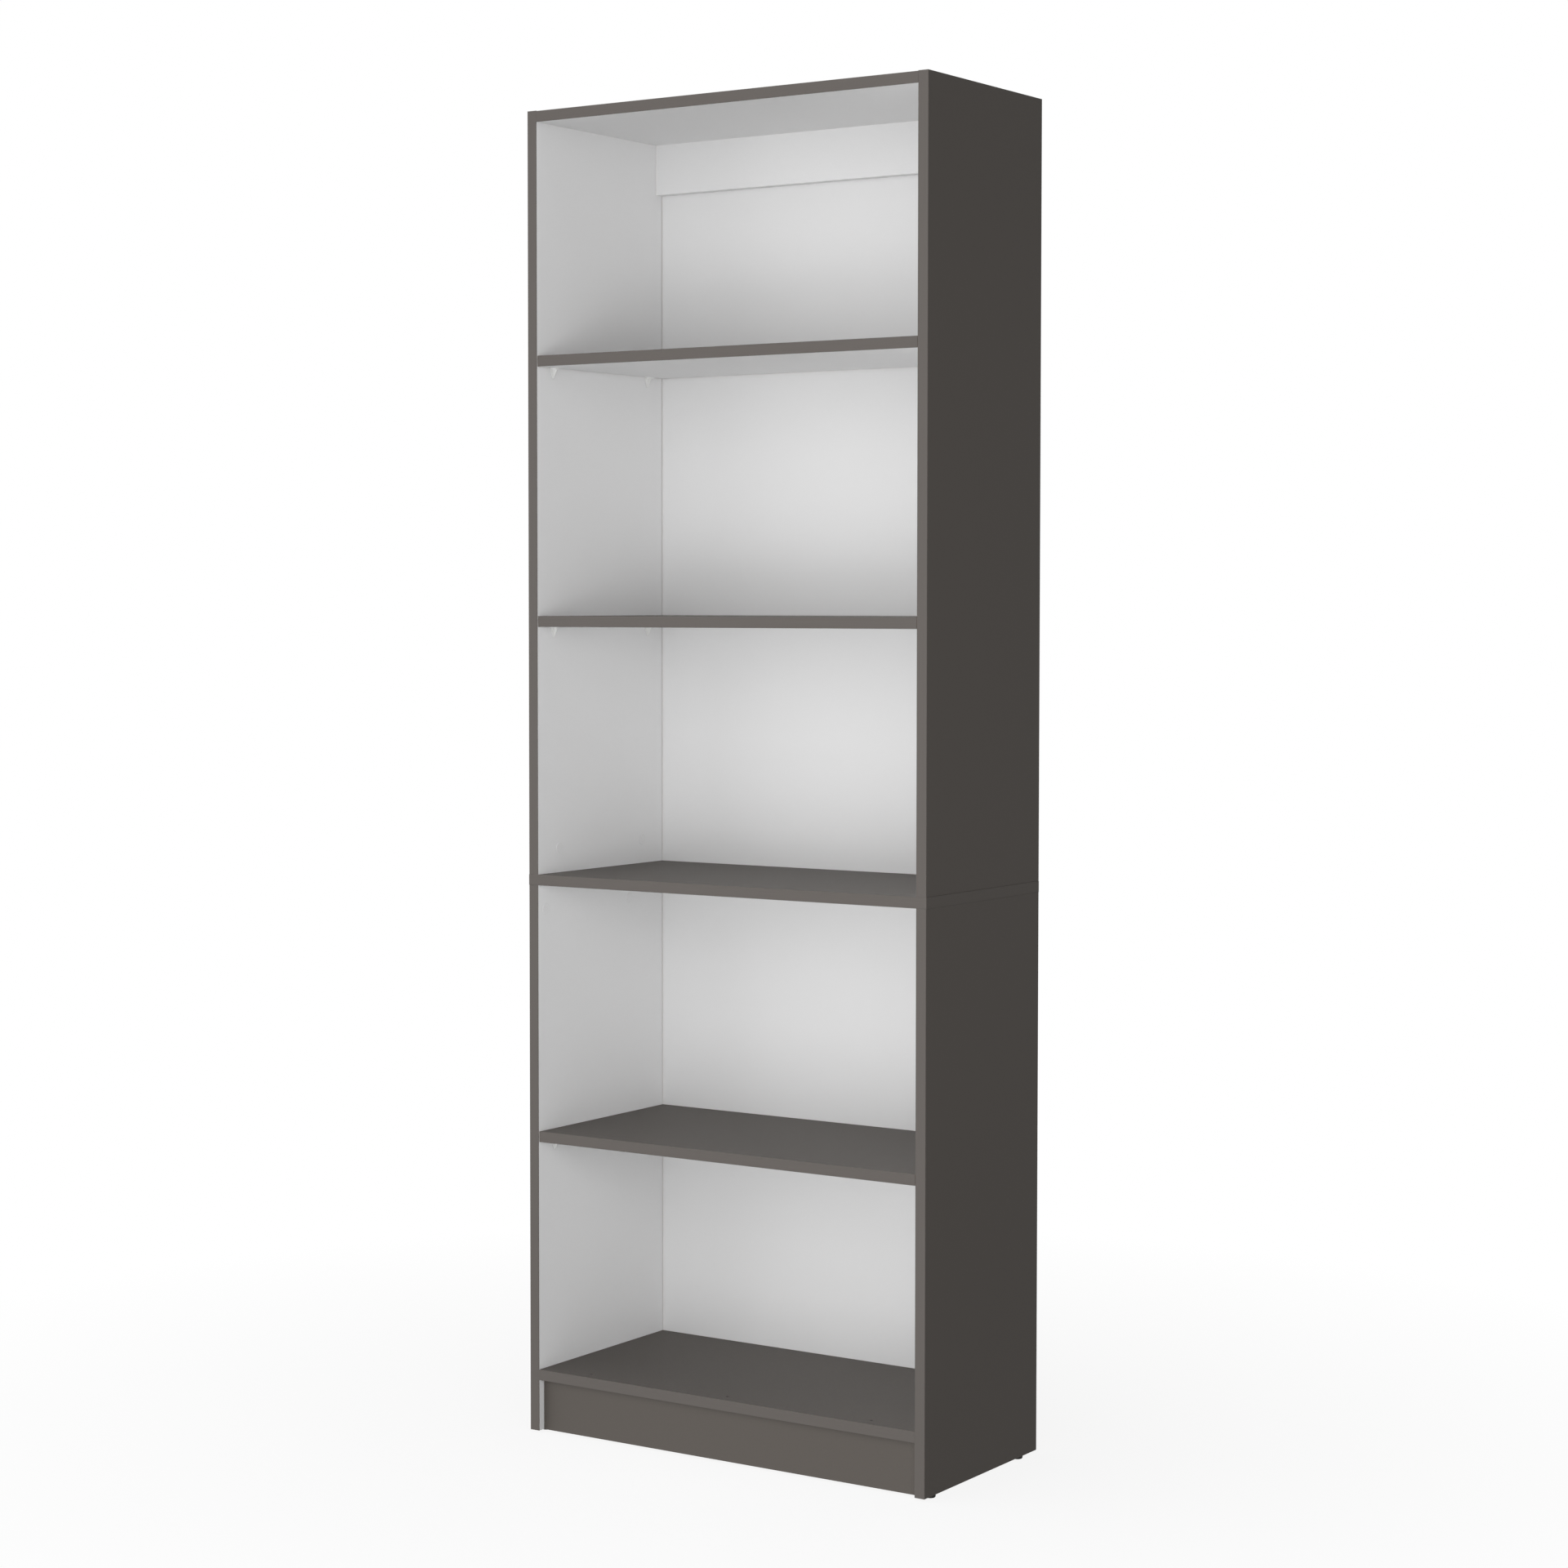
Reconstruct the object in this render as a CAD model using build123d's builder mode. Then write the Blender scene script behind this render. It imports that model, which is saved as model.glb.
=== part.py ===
from build123d import *

import os

# Bookcase with adjustable shelves, flat-pack construction.
#
# Frame: millimetres, +Z up, the open front faces -Y, +X to the right as seen
# from the front. The origin is on the floor, in the middle of the width and
# of the overall depth.
#
# The carcass is two storeys high. Each side is a lower and an upper panel with
# a full-width middle panel clamped between them by cam locks. Three loose
# shelves rest on push-in pegs. The hardboard backs are nailed on from behind.

# ---------------------------------------------------------------- dimensions
T = 15.0            # board thickness
W = 640.0           # width over the side panels
D = 300.0           # depth of the side panels, front edge band included
BACK_T = 3.0        # hardboard
NAIL_HEAD_T = 0.6   # nail heads stand proud of the hardboard
GLIDE_H = 4.0       # floor glides lift the sides off the floor
BAND = 0.8          # front edge band
END_BAND = 0.4      # thin band on the middle panel's ends
TOP_BAND = 0.5      # thin band on the sides' top ends

# heights above the underside of the side panels
KICK_H = 71.5
BOTTOM_Z = 71.5         # underside of the bottom panel
MIDDLE_Z = 765.5        # underside of the middle panel
TOP_Z = 1818.5          # underside of the top panel
LOWER_SHELF_Z = 406.5
SECOND_SHELF_Z = 1124.5
UPPER_SHELF_Z = 1483.5
RAIL_H = 71.5

KICK_SETBACK = 11.2
RAIL_SETBACK = 285.0

SHELF_GAP = 1.0         # at each end of a loose shelf
SHELF_FRONT = 1.0       # its front edge sits behind the carcass front
SHELF_BACK_GAP = 1.0    # and clear of the hardboard

BACK_INSET = 3.0        # the hardboard stops short of the outer faces
BACK_SPLIT_GAP = 1.0    # between the two backs, behind the middle panel

PEG_SETBACK = 37.0      # peg axes from the front, and from the rear edge
PEG_PIN_R = 2.5
PEG_PIN_L = 8.0
PEG_HOLE_R = 2.55
PEG_HOLE_DEPTH = 9.0
PEG_DROP = 6.0          # pin axis below the underside of the shelf
PEG_W = 12.0
PEG_TAB_L = 9.0
PEG_TAB_T = 1.6
PEG_PLATE_T = 1.6
PEG_TIP = 15.5          # tip of the plate below the underside of the shelf

CAM_R = 7.4
CAM_L = 12.0
CAM_BORE_R = 7.5
CAM_BORE_DEPTH = 12.5
CAM_EDGE = 34.0         # cam axis from the end of its board
BOLT_CHANNEL_R = 4.0
BOLT_THREAD_R = 2.5
BOLT_THREAD_L = 10.0
BOLT_PILOT_R = 2.5
COVER_R = 8.0
COVER_T = 0.5

DOWEL_R = 3.98
DOWEL_HOLE_R = 4.0
DOWEL_EDGE_DEPTH = 21.0     # in the end of a board
DOWEL_FACE_DEPTH = 9.0      # in the face of a board
DOWEL_CLEAR = 0.5           # left free at each end

GLIDE_R = 7.5
GLIDE_FRONT = 27.0
GLIDE_REAR = 260.0

KICK_SCREWS_X = (-228.0, 0.0, 228.0)
SCREW_R = 1.6           # slim chipboard screw, its small head driven just under the face
SCREW_HEAD_R = 2.3
SCREW_SUNK = 0.3
SCREW_L = 48.0

# ------------------------------------------------------------ derived values
HALF = W / 2                                  # outer faces at -HALF, +HALF
INNER = HALF - T                              # inner faces of the sides
Y0 = -(D + BACK_T + NAIL_HEAD_T) / 2          # front plane of the carcass
Y_REAR = Y0 + D                               # rear edges of the boards
Z0 = GLIDE_H                                  # underside of the side panels
CAM_Y_LOWER = (Y0 + 18.5, Y0 + 217.5)         # cams under the middle panel
CAM_Y_UPPER = (Y0 + 50.5, Y0 + 249.5)         # cams over the middle panel
DOWEL_Y_LOWER = (Y0 + 82.5, Y0 + 274.5)
DOWEL_Y_UPPER = (Y0 + 114.5, Y0 + 185.0)
CAM_Y_ENDS = (Y0 + 50.5, Y0 + 249.5)          # top and bottom panel
DOWEL_Y_ENDS = (Y0 + 82.5, Y0 + 217.5)
PEG_Y = {"front": Y0 + PEG_SETBACK, "rear": Y0 + D - PEG_SETBACK}
SHELVES = {
    "lower": Z0 + LOWER_SHELF_Z,
    "second": Z0 + SECOND_SHELF_Z,
    "upper": Z0 + UPPER_SHELF_Z,
}
MID_LO = Z0 + MIDDLE_Z
MID_HI = MID_LO + T
TOP_LO = Z0 + TOP_Z
TOP_HI = TOP_LO + T
BOT_LO = Z0 + BOTTOM_Z
BOT_HI = BOT_LO + T
X_CAM = INNER - CAM_EDGE                      # cams in boards between the sides
KICK_Y = Y0 + KICK_SETBACK + T / 2
RAIL_Y = Y0 + RAIL_SETBACK + T / 2
RAIL_LO = TOP_LO - RAIL_H
RAIL_CAM_Z = RAIL_LO + 24.0
RAIL_DOWEL_Z = RAIL_LO + 52.0
X_MID = HALF - T / 2                          # middle of a side panel

made = []


def keep(builder, name):
    builder.part.label = name
    made.append((name, builder.part))


# ---------------------------------------------------------------- side panels
# The left panels are drawn, the right ones are their mirror images.
with BuildPart() as left_side_lower:
    with BuildSketch(Plane.XY.offset(Z0)):
        with Locations((-X_MID, Y0 + (D + BAND) / 2)):
            Rectangle(T, D - BAND)
    extrude(amount=MIDDLE_Z)
    # cam bores in the inner face, under the top end
    with Locations(*[Plane((-INNER, y, MID_LO - CAM_EDGE), z_dir=(1, 0, 0)) for y in CAM_Y_LOWER]):
        Hole(CAM_BORE_R, CAM_BORE_DEPTH)
    # bolt channels from the top end down to the cams
    with Locations(*[Plane((-X_MID, y, MID_LO), z_dir=(0, 0, 1)) for y in CAM_Y_LOWER]):
        Hole(BOLT_CHANNEL_R, CAM_EDGE)
    with Locations(*[Plane((-X_MID, y, MID_LO), z_dir=(0, 0, 1)) for y in DOWEL_Y_LOWER]):
        Hole(DOWEL_HOLE_R, DOWEL_EDGE_DEPTH)
    # bolt pilots and dowel holes for the bottom panel
    with Locations(*[Plane((-INNER, y, BOT_LO + T / 2), z_dir=(1, 0, 0)) for y in CAM_Y_ENDS]):
        Hole(BOLT_PILOT_R, BOLT_THREAD_L + 1)
    with Locations(*[Plane((-INNER, y, BOT_LO + T / 2), z_dir=(1, 0, 0)) for y in DOWEL_Y_ENDS]):
        Hole(DOWEL_HOLE_R, DOWEL_FACE_DEPTH)
    # dowel hole for the kick panel
    with Locations(Plane((-INNER, KICK_Y, Z0 + KICK_H / 2), z_dir=(1, 0, 0))):
        Hole(DOWEL_HOLE_R, DOWEL_FACE_DEPTH)
    # peg holes of the lower shelf
    with Locations(*[Plane((-INNER, y, SHELVES["lower"] - PEG_DROP), z_dir=(1, 0, 0)) for y in PEG_Y.values()]):
        Hole(PEG_HOLE_R, PEG_HOLE_DEPTH)
    # holes for the glide nails
    with Locations(*[Plane((-X_MID, Y0 + y, Z0), z_dir=(0, 0, -1)) for y in (GLIDE_FRONT, GLIDE_REAR)]):
        Hole(1.25, 16)
keep(left_side_lower, "left_side_lower")

with BuildPart() as right_side_lower:
    mirror(left_side_lower.part, about=Plane.YZ)
keep(right_side_lower, "right_side_lower")

with BuildPart() as left_side_upper:
    with BuildSketch(Plane.XY.offset(MID_HI)):
        with Locations((-X_MID, Y0 + (D + BAND) / 2)):
            Rectangle(T, D - BAND)
    extrude(amount=TOP_HI - MID_HI)
    # cam bores in the inner face, over the bottom end
    with Locations(*[Plane((-INNER, y, MID_HI + CAM_EDGE), z_dir=(1, 0, 0)) for y in CAM_Y_UPPER]):
        Hole(CAM_BORE_R, CAM_BORE_DEPTH)
    with Locations(*[Plane((-X_MID, y, MID_HI), z_dir=(0, 0, -1)) for y in CAM_Y_UPPER]):
        Hole(BOLT_CHANNEL_R, CAM_EDGE)
    with Locations(*[Plane((-X_MID, y, MID_HI), z_dir=(0, 0, -1)) for y in DOWEL_Y_UPPER]):
        Hole(DOWEL_HOLE_R, DOWEL_EDGE_DEPTH)
    # bolt pilots and dowel holes for the top panel
    with Locations(*[Plane((-INNER, y, TOP_LO + T / 2), z_dir=(1, 0, 0)) for y in CAM_Y_ENDS]):
        Hole(BOLT_PILOT_R, BOLT_THREAD_L + 1)
    with Locations(*[Plane((-INNER, y, TOP_LO + T / 2), z_dir=(1, 0, 0)) for y in DOWEL_Y_ENDS]):
        Hole(DOWEL_HOLE_R, DOWEL_FACE_DEPTH)
    # bolt pilot and dowel hole for the top rail
    with Locations(Plane((-INNER, RAIL_Y, RAIL_CAM_Z), z_dir=(1, 0, 0))):
        Hole(BOLT_PILOT_R, BOLT_THREAD_L + 1)
    with Locations(Plane((-INNER, RAIL_Y, RAIL_DOWEL_Z), z_dir=(1, 0, 0))):
        Hole(DOWEL_HOLE_R, DOWEL_FACE_DEPTH)
    # peg holes of the two upper shelves
    with Locations(*[
        Plane((-INNER, y, SHELVES[s] - PEG_DROP), z_dir=(1, 0, 0))
        for y in PEG_Y.values() for s in ("second", "upper")
    ]):
        Hole(PEG_HOLE_R, PEG_HOLE_DEPTH)
keep(left_side_upper, "left_side_upper")

with BuildPart() as right_side_upper:
    mirror(left_side_upper.part, about=Plane.YZ)
keep(right_side_upper, "right_side_upper")

# ------------------------------------------------------------- fixed panels
# Middle panel: runs through between the lower and the upper sides.
with BuildPart() as middle_panel:
    with BuildSketch(Plane.XY.offset(MID_LO)):
        with Locations((0, Y0 + (D + BAND) / 2)):
            Rectangle(W, D - BAND)
    extrude(amount=T)
    with Locations(*[Plane((x, y, MID_LO), z_dir=(0, 0, -1)) for x in (-X_MID, X_MID) for y in CAM_Y_LOWER]):
        Hole(BOLT_PILOT_R, BOLT_THREAD_L + 1)
    with Locations(*[Plane((x, y, MID_HI), z_dir=(0, 0, 1)) for x in (-X_MID, X_MID) for y in CAM_Y_UPPER]):
        Hole(BOLT_PILOT_R, BOLT_THREAD_L + 1)
    with Locations(*[Plane((x, y, MID_LO), z_dir=(0, 0, -1)) for x in (-X_MID, X_MID) for y in DOWEL_Y_LOWER]):
        Hole(DOWEL_HOLE_R, DOWEL_FACE_DEPTH)
    with Locations(*[Plane((x, y, MID_HI), z_dir=(0, 0, 1)) for x in (-X_MID, X_MID) for y in DOWEL_Y_UPPER]):
        Hole(DOWEL_HOLE_R, DOWEL_FACE_DEPTH)
keep(middle_panel, "middle_panel")

# Top panel: between the upper sides, cams let into its top face.
with BuildPart() as top_panel:
    with BuildSketch(Plane.XY.offset(TOP_LO)):
        with Locations((0, Y0 + (D + BAND) / 2)):
            Rectangle(2 * INNER, D - BAND)
    extrude(amount=T)
    with Locations(*[Plane((x, y, TOP_HI), z_dir=(0, 0, 1)) for x in (-X_CAM, X_CAM) for y in CAM_Y_ENDS]):
        Hole(CAM_BORE_R, CAM_BORE_DEPTH)
    with Locations(*[Plane((s * INNER, y, TOP_LO + T / 2), z_dir=(s, 0, 0)) for s in (-1, 1) for y in CAM_Y_ENDS]):
        Hole(BOLT_CHANNEL_R, CAM_EDGE)
    with Locations(*[Plane((s * INNER, y, TOP_LO + T / 2), z_dir=(s, 0, 0)) for s in (-1, 1) for y in DOWEL_Y_ENDS]):
        Hole(DOWEL_HOLE_R, DOWEL_EDGE_DEPTH)
keep(top_panel, "top_panel")

# Bottom panel: between the lower sides, cams in its underside, three
# countersunk screws down into the kick panel.
with BuildPart() as bottom_panel:
    with BuildSketch(Plane.XY.offset(BOT_LO)):
        with Locations((0, Y0 + (D + BAND) / 2)):
            Rectangle(2 * INNER, D - BAND)
    extrude(amount=T)
    with Locations(*[Plane((x, y, BOT_LO), z_dir=(0, 0, -1)) for x in (-X_CAM, X_CAM) for y in CAM_Y_ENDS]):
        Hole(CAM_BORE_R, CAM_BORE_DEPTH)
    with Locations(*[Plane((s * INNER, y, BOT_LO + T / 2), z_dir=(s, 0, 0)) for s in (-1, 1) for y in CAM_Y_ENDS]):
        Hole(BOLT_CHANNEL_R, CAM_EDGE)
    with Locations(*[Plane((s * INNER, y, BOT_LO + T / 2), z_dir=(s, 0, 0)) for s in (-1, 1) for y in DOWEL_Y_ENDS]):
        Hole(DOWEL_HOLE_R, DOWEL_EDGE_DEPTH)
    with Locations(*[Plane((x, KICK_Y, BOT_HI), z_dir=(0, 0, 1)) for x in KICK_SCREWS_X]):
        CounterSinkHole(SCREW_R + 0.05, SCREW_HEAD_R + 0.15, counter_sink_angle=90)
keep(bottom_panel, "bottom_panel")

with BuildPart() as kick_panel:
    with BuildSketch(Plane.XY.offset(Z0)):
        with Locations((0, KICK_Y)):
            Rectangle(2 * INNER, T)
    extrude(amount=KICK_H)
    with Locations(*[Plane((x, KICK_Y, BOT_LO), z_dir=(0, 0, 1)) for x in KICK_SCREWS_X]):
        Hole(SCREW_R + 0.05, 34)
    with Locations(*[Plane((s * INNER, KICK_Y, Z0 + KICK_H / 2), z_dir=(s, 0, 0)) for s in (-1, 1)]):
        Hole(DOWEL_HOLE_R, DOWEL_EDGE_DEPTH)
keep(kick_panel, "kick_panel")

# Top rail: stiffens the back under the top panel, cams let into its rear face.
with BuildPart() as top_rail:
    with BuildSketch(Plane.XY.offset(RAIL_LO)):
        with Locations((0, RAIL_Y)):
            Rectangle(2 * INNER, T)
    extrude(amount=RAIL_H)
    with Locations(*[Plane((x, Y_REAR, RAIL_CAM_Z), z_dir=(0, 1, 0)) for x in (-X_CAM, X_CAM)]):
        Hole(CAM_BORE_R, CAM_BORE_DEPTH)
    with Locations(*[Plane((s * INNER, RAIL_Y, RAIL_CAM_Z), z_dir=(s, 0, 0)) for s in (-1, 1)]):
        Hole(BOLT_CHANNEL_R, CAM_EDGE)
    with Locations(*[Plane((s * INNER, RAIL_Y, RAIL_DOWEL_Z), z_dir=(s, 0, 0)) for s in (-1, 1)]):
        Hole(DOWEL_HOLE_R, DOWEL_EDGE_DEPTH)
keep(top_rail, "top_rail")

# ---------------------------------------------------------- hardboard backs
BACK_W = W - 2 * BACK_INSET
SPLIT = (MID_LO + MID_HI) / 2
BACK_LOWER = (BOT_LO + 0.5, SPLIT - BACK_SPLIT_GAP / 2)
BACK_UPPER = (SPLIT + BACK_SPLIT_GAP / 2, TOP_HI - 0.5)

# nails: down both sides, and along each crossing board
NAIL_R = 0.7
NAIL_HEAD_R = 1.9
NAIL_L = 18.0


def spread(low, high, count):
    return [low + (high - low) * i / (count - 1) for i in range(count)]


ROW_X = (-200.0, -100.0, 0.0, 100.0, 200.0)
NAILS_LOWER = (
    [(s * X_MID, z) for s in (-1, 1) for z in spread(BOT_LO + T / 2, SPLIT - 4.0, 7)]
    + [(x, BOT_LO + T / 2) for x in ROW_X]
    + [(x, SPLIT - 4.0) for x in ROW_X]
)
NAILS_UPPER = (
    [(s * X_MID, z) for s in (-1, 1) for z in spread(SPLIT + 4.0, TOP_LO + T / 2, 9)]
    + [(x, SPLIT + 4.0) for x in ROW_X]
    + [(x, TOP_LO + T / 2) for x in ROW_X]
)

with BuildPart() as back_panel_lower:
    with BuildSketch(Plane.XY.offset(BACK_LOWER[0])):
        with Locations((0, Y_REAR + BACK_T / 2)):
            Rectangle(BACK_W, BACK_T)
    extrude(amount=BACK_LOWER[1] - BACK_LOWER[0])
keep(back_panel_lower, "back_panel_lower")

with BuildPart() as back_panel_upper:
    with BuildSketch(Plane.XY.offset(BACK_UPPER[0])):
        with Locations((0, Y_REAR + BACK_T / 2)):
            Rectangle(BACK_W, BACK_T)
    extrude(amount=BACK_UPPER[1] - BACK_UPPER[0])
keep(back_panel_upper, "back_panel_upper")

# ------------------------------------------------------------ loose shelves
SHELF_HALF = INNER - SHELF_GAP
SHELF_D = D - SHELF_FRONT - SHELF_BACK_GAP

with BuildPart() as upper_shelf:
    with BuildSketch(Plane.XY.offset(SHELVES["upper"])):
        with Locations((0, Y0 + SHELF_FRONT + (SHELF_D + BAND) / 2)):
            Rectangle(2 * SHELF_HALF, SHELF_D - BAND)
    extrude(amount=T)
keep(upper_shelf, "upper_shelf")

with BuildPart() as second_shelf:
    with BuildSketch(Plane.XY.offset(SHELVES["second"])):
        with Locations((0, Y0 + SHELF_FRONT + (SHELF_D + BAND) / 2)):
            Rectangle(2 * SHELF_HALF, SHELF_D - BAND)
    extrude(amount=T)
keep(second_shelf, "second_shelf")

with BuildPart() as lower_shelf:
    with BuildSketch(Plane.XY.offset(SHELVES["lower"])):
        with Locations((0, Y0 + SHELF_FRONT + (SHELF_D + BAND) / 2)):
            Rectangle(2 * SHELF_HALF, SHELF_D - BAND)
    extrude(amount=T)
keep(lower_shelf, "lower_shelf")

# ------------------------------------------------------------- edge bands
# Strips glued on the cut edges that show.
with BuildPart() as side_front_bands:
    for low, high in ((Z0, MID_LO), (MID_HI, TOP_HI)):
        with BuildSketch(Plane.XY.offset(low)):
            with Locations((-X_MID, Y0 + BAND / 2), (X_MID, Y0 + BAND / 2)):
                Rectangle(T, BAND)
        extrude(amount=high - low)
keep(side_front_bands, "side_front_bands")

with BuildPart() as side_top_bands:
    with BuildSketch(Plane.XY.offset(TOP_HI)):
        with Locations((-X_MID, Y0 + D / 2), (X_MID, Y0 + D / 2)):
            Rectangle(T, D)
    extrude(amount=TOP_BAND)
keep(side_top_bands, "side_top_bands")

with BuildPart() as middle_end_bands:
    with BuildSketch(Plane.XY.offset(MID_LO)):
        with Locations(
            (-HALF - END_BAND / 2, Y0 + D / 2), (HALF + END_BAND / 2, Y0 + D / 2)
        ):
            Rectangle(END_BAND, D)
    extrude(amount=T)
keep(middle_end_bands, "middle_end_bands")

with BuildPart() as middle_front_band:
    with BuildSketch(Plane.XY.offset(MID_LO)):
        with Locations((0, Y0 + BAND / 2)):
            Rectangle(W, BAND)
    extrude(amount=T)
keep(middle_front_band, "middle_front_band")

with BuildPart() as top_front_band:
    with BuildSketch(Plane.XY.offset(TOP_LO)):
        with Locations((0, Y0 + BAND / 2)):
            Rectangle(2 * INNER, BAND)
    extrude(amount=T)
keep(top_front_band, "top_front_band")

with BuildPart() as bottom_front_band:
    with BuildSketch(Plane.XY.offset(BOT_LO)):
        with Locations((0, Y0 + BAND / 2)):
            Rectangle(2 * INNER, BAND)
    extrude(amount=T)
keep(bottom_front_band, "bottom_front_band")

with BuildPart() as upper_shelf_front_band:
    with BuildSketch(Plane.XY.offset(SHELVES["upper"])):
        with Locations((0, Y0 + SHELF_FRONT + BAND / 2)):
            Rectangle(2 * SHELF_HALF, BAND)
    extrude(amount=T)
keep(upper_shelf_front_band, "upper_shelf_front_band")

with BuildPart() as second_shelf_front_band:
    with BuildSketch(Plane.XY.offset(SHELVES["second"])):
        with Locations((0, Y0 + SHELF_FRONT + BAND / 2)):
            Rectangle(2 * SHELF_HALF, BAND)
    extrude(amount=T)
keep(second_shelf_front_band, "second_shelf_front_band")

with BuildPart() as lower_shelf_front_band:
    with BuildSketch(Plane.XY.offset(SHELVES["lower"])):
        with Locations((0, Y0 + SHELF_FRONT + BAND / 2)):
            Rectangle(2 * SHELF_HALF, BAND)
    extrude(amount=T)
keep(lower_shelf_front_band, "lower_shelf_front_band")

# ------------------------------------------------------------- shelf pegs
# One moulded peg, drawn for a left side: the pin's axis is local X, the plate
# lies on the side panel at local x = 0 and the tab reaches into the bay.
TAB_TOP = PEG_DROP
TIP = PEG_DROP - PEG_TIP
TIP_R = 2.4
with BuildPart() as peg:
    # plate: straight under the tab, then tapering to a rounded tip
    with BuildSketch(Plane.YZ):
        with BuildLine():
            Polyline(
                (-TIP_R, TIP + TIP_R),
                (-PEG_W / 2, TAB_TOP - 7.0),
                (-PEG_W / 2, TAB_TOP),
                (PEG_W / 2, TAB_TOP),
                (PEG_W / 2, TAB_TOP - 7.0),
                (TIP_R, TIP + TIP_R),
            )
            ThreePointArc((TIP_R, TIP + TIP_R), (0, TIP), (-TIP_R, TIP + TIP_R))
        make_face()
    extrude(amount=PEG_PLATE_T)
    # tab that carries the shelf
    with BuildSketch(Plane.XY.offset(TAB_TOP - PEG_TAB_T)) as tab_outline:
        with Locations((PEG_TAB_L / 2, 0)):
            Rectangle(PEG_TAB_L, PEG_W)
        fillet(tab_outline.vertices().group_by(Axis.X)[-1], 2.5)
    extrude(amount=PEG_TAB_T)
    # web between plate and tab
    with BuildSketch(Plane.XZ.offset(-0.8)):
        with BuildLine():
            Polyline(
                (0.5, TAB_TOP - 0.8),
                (PEG_TAB_L - 1.2, TAB_TOP - 0.8),
                (PEG_TAB_L - 1.2, TAB_TOP - PEG_TAB_T - 0.4),
                (PEG_PLATE_T + 0.6, TIP + 2.2),
                (0.5, TIP + 2.2),
                close=True,
            )
        make_face()
    extrude(amount=1.6)
    # pin into the side panel, its end chamfered
    with Locations(Plane((0, 0, 0), z_dir=(-1, 0, 0))):
        Cylinder(PEG_PIN_R, PEG_PIN_L, align=(Align.CENTER, Align.CENTER, Align.MIN))
    chamfer(peg.edges().group_by(Axis.X)[0], 0.6)

for s, level in SHELVES.items():
    for side in ("left", "right"):
        for end in ("front", "rear"):
            name = f"{s}_peg_{side}_{end}"
            with BuildPart() as placed:
                with Locations((-INNER, PEG_Y[end], level - PEG_DROP)):
                    add(peg.part)
                if side == "right":
                    mirror(about=Plane.YZ)
                    split(bisect_by=Plane.YZ, keep=Keep.TOP)
            keep(placed, name)

# ------------------------------------------------------------- cam fittings
# Cam housing, drawn with its open face up at z = 0 and the bolt coming in
# along +X at mid-thickness of a 15 mm board.
CAM_TOP_GAP = 0.3
BOLT_DEPTH = T / 2
with BuildPart() as cam:
    with BuildSketch(Plane.XY.offset(-CAM_TOP_GAP)):
        Circle(CAM_R)
    extrude(amount=-(CAM_L - CAM_TOP_GAP))
    # cross recess for the driver
    with BuildSketch(Plane.XY.offset(-CAM_TOP_GAP)):
        Rectangle(6.4, 1.3)
        Rectangle(1.3, 6.4)
        Circle(1.35)
    extrude(amount=-1.9, mode=Mode.SUBTRACT)
    # pocket that takes the bolt's head
    with BuildSketch(Plane.YZ):
        with Locations((0, -BOLT_DEPTH)):
            Circle(3.9)
    extrude(amount=CAM_R + 1, mode=Mode.SUBTRACT)
    with Locations((0, 0, -BOLT_DEPTH)):
        Sphere(3.9, mode=Mode.SUBTRACT)

# Cam bolt, drawn along +X: the board face is at x = 0, the thread reaches to
# negative x and the head to the cam's axis.
with BuildPart() as bolt:
    with BuildSketch(Plane.XZ):
        with BuildLine():
            Polyline(
                (-BOLT_THREAD_L, 0),
                (-BOLT_THREAD_L, 1.6),
                (-BOLT_THREAD_L + 1.4, BOLT_THREAD_R - 0.02),
                (0, BOLT_THREAD_R - 0.02),
                (0, 3.3),
                (1.6, 3.3),
                (2.2, 2.5),
                (26.4, 2.5),
                (27.6, 1.7),
                (31.2, 1.7),
                (32.0, 2.9),
                (35.2, 2.9),
                (36.6, 1.6),
                (36.6, 0),
                close=True,
            )
        make_face()
    revolve(axis=Axis.X)

# Cover cap: a thin round disc over the cam, with a short spigot in its recess.
with BuildPart() as cover:
    with BuildSketch():
        Circle(COVER_R)
    extrude(amount=COVER_T)
    chamfer(cover.edges().group_by(Axis.Z)[-1], 0.3)
    with BuildSketch():
        Circle(1.2)
    extrude(amount=-1.6)


def facing(origin, out, along):
    # out: the way the cam's open face looks; along: the way to its bolt
    return Plane(origin, x_dir=along, z_dir=out)


SIDE_CAMS_LOWER = [
    facing((s * INNER, y, MID_LO - CAM_EDGE), (-s, 0, 0), (0, 0, 1))
    for s in (-1, 1) for y in CAM_Y_LOWER
]
SIDE_CAMS_UPPER = [
    facing((s * INNER, y, MID_HI + CAM_EDGE), (-s, 0, 0), (0, 0, -1))
    for s in (-1, 1) for y in CAM_Y_UPPER
]
TOP_CAMS = [
    facing((s * X_CAM, y, TOP_HI), (0, 0, 1), (s, 0, 0))
    for s in (-1, 1) for y in CAM_Y_ENDS
]
BOTTOM_CAMS = [
    facing((s * X_CAM, y, BOT_LO), (0, 0, -1), (s, 0, 0))
    for s in (-1, 1) for y in CAM_Y_ENDS
]
RAIL_CAMS = [
    facing((s * X_CAM, Y_REAR, RAIL_CAM_Z), (0, 1, 0), (s, 0, 0)) for s in (-1, 1)
]

with BuildPart() as side_cams_lower:
    with Locations(*SIDE_CAMS_LOWER):
        add(cam.part)
keep(side_cams_lower, "side_cams_lower")

with BuildPart() as side_cams_upper:
    with Locations(*SIDE_CAMS_UPPER):
        add(cam.part)
keep(side_cams_upper, "side_cams_upper")

with BuildPart() as top_cams:
    with Locations(*TOP_CAMS):
        add(cam.part)
keep(top_cams, "top_cams")

with BuildPart() as bottom_cams:
    with Locations(*BOTTOM_CAMS):
        add(cam.part)
keep(bottom_cams, "bottom_cams")

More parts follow.
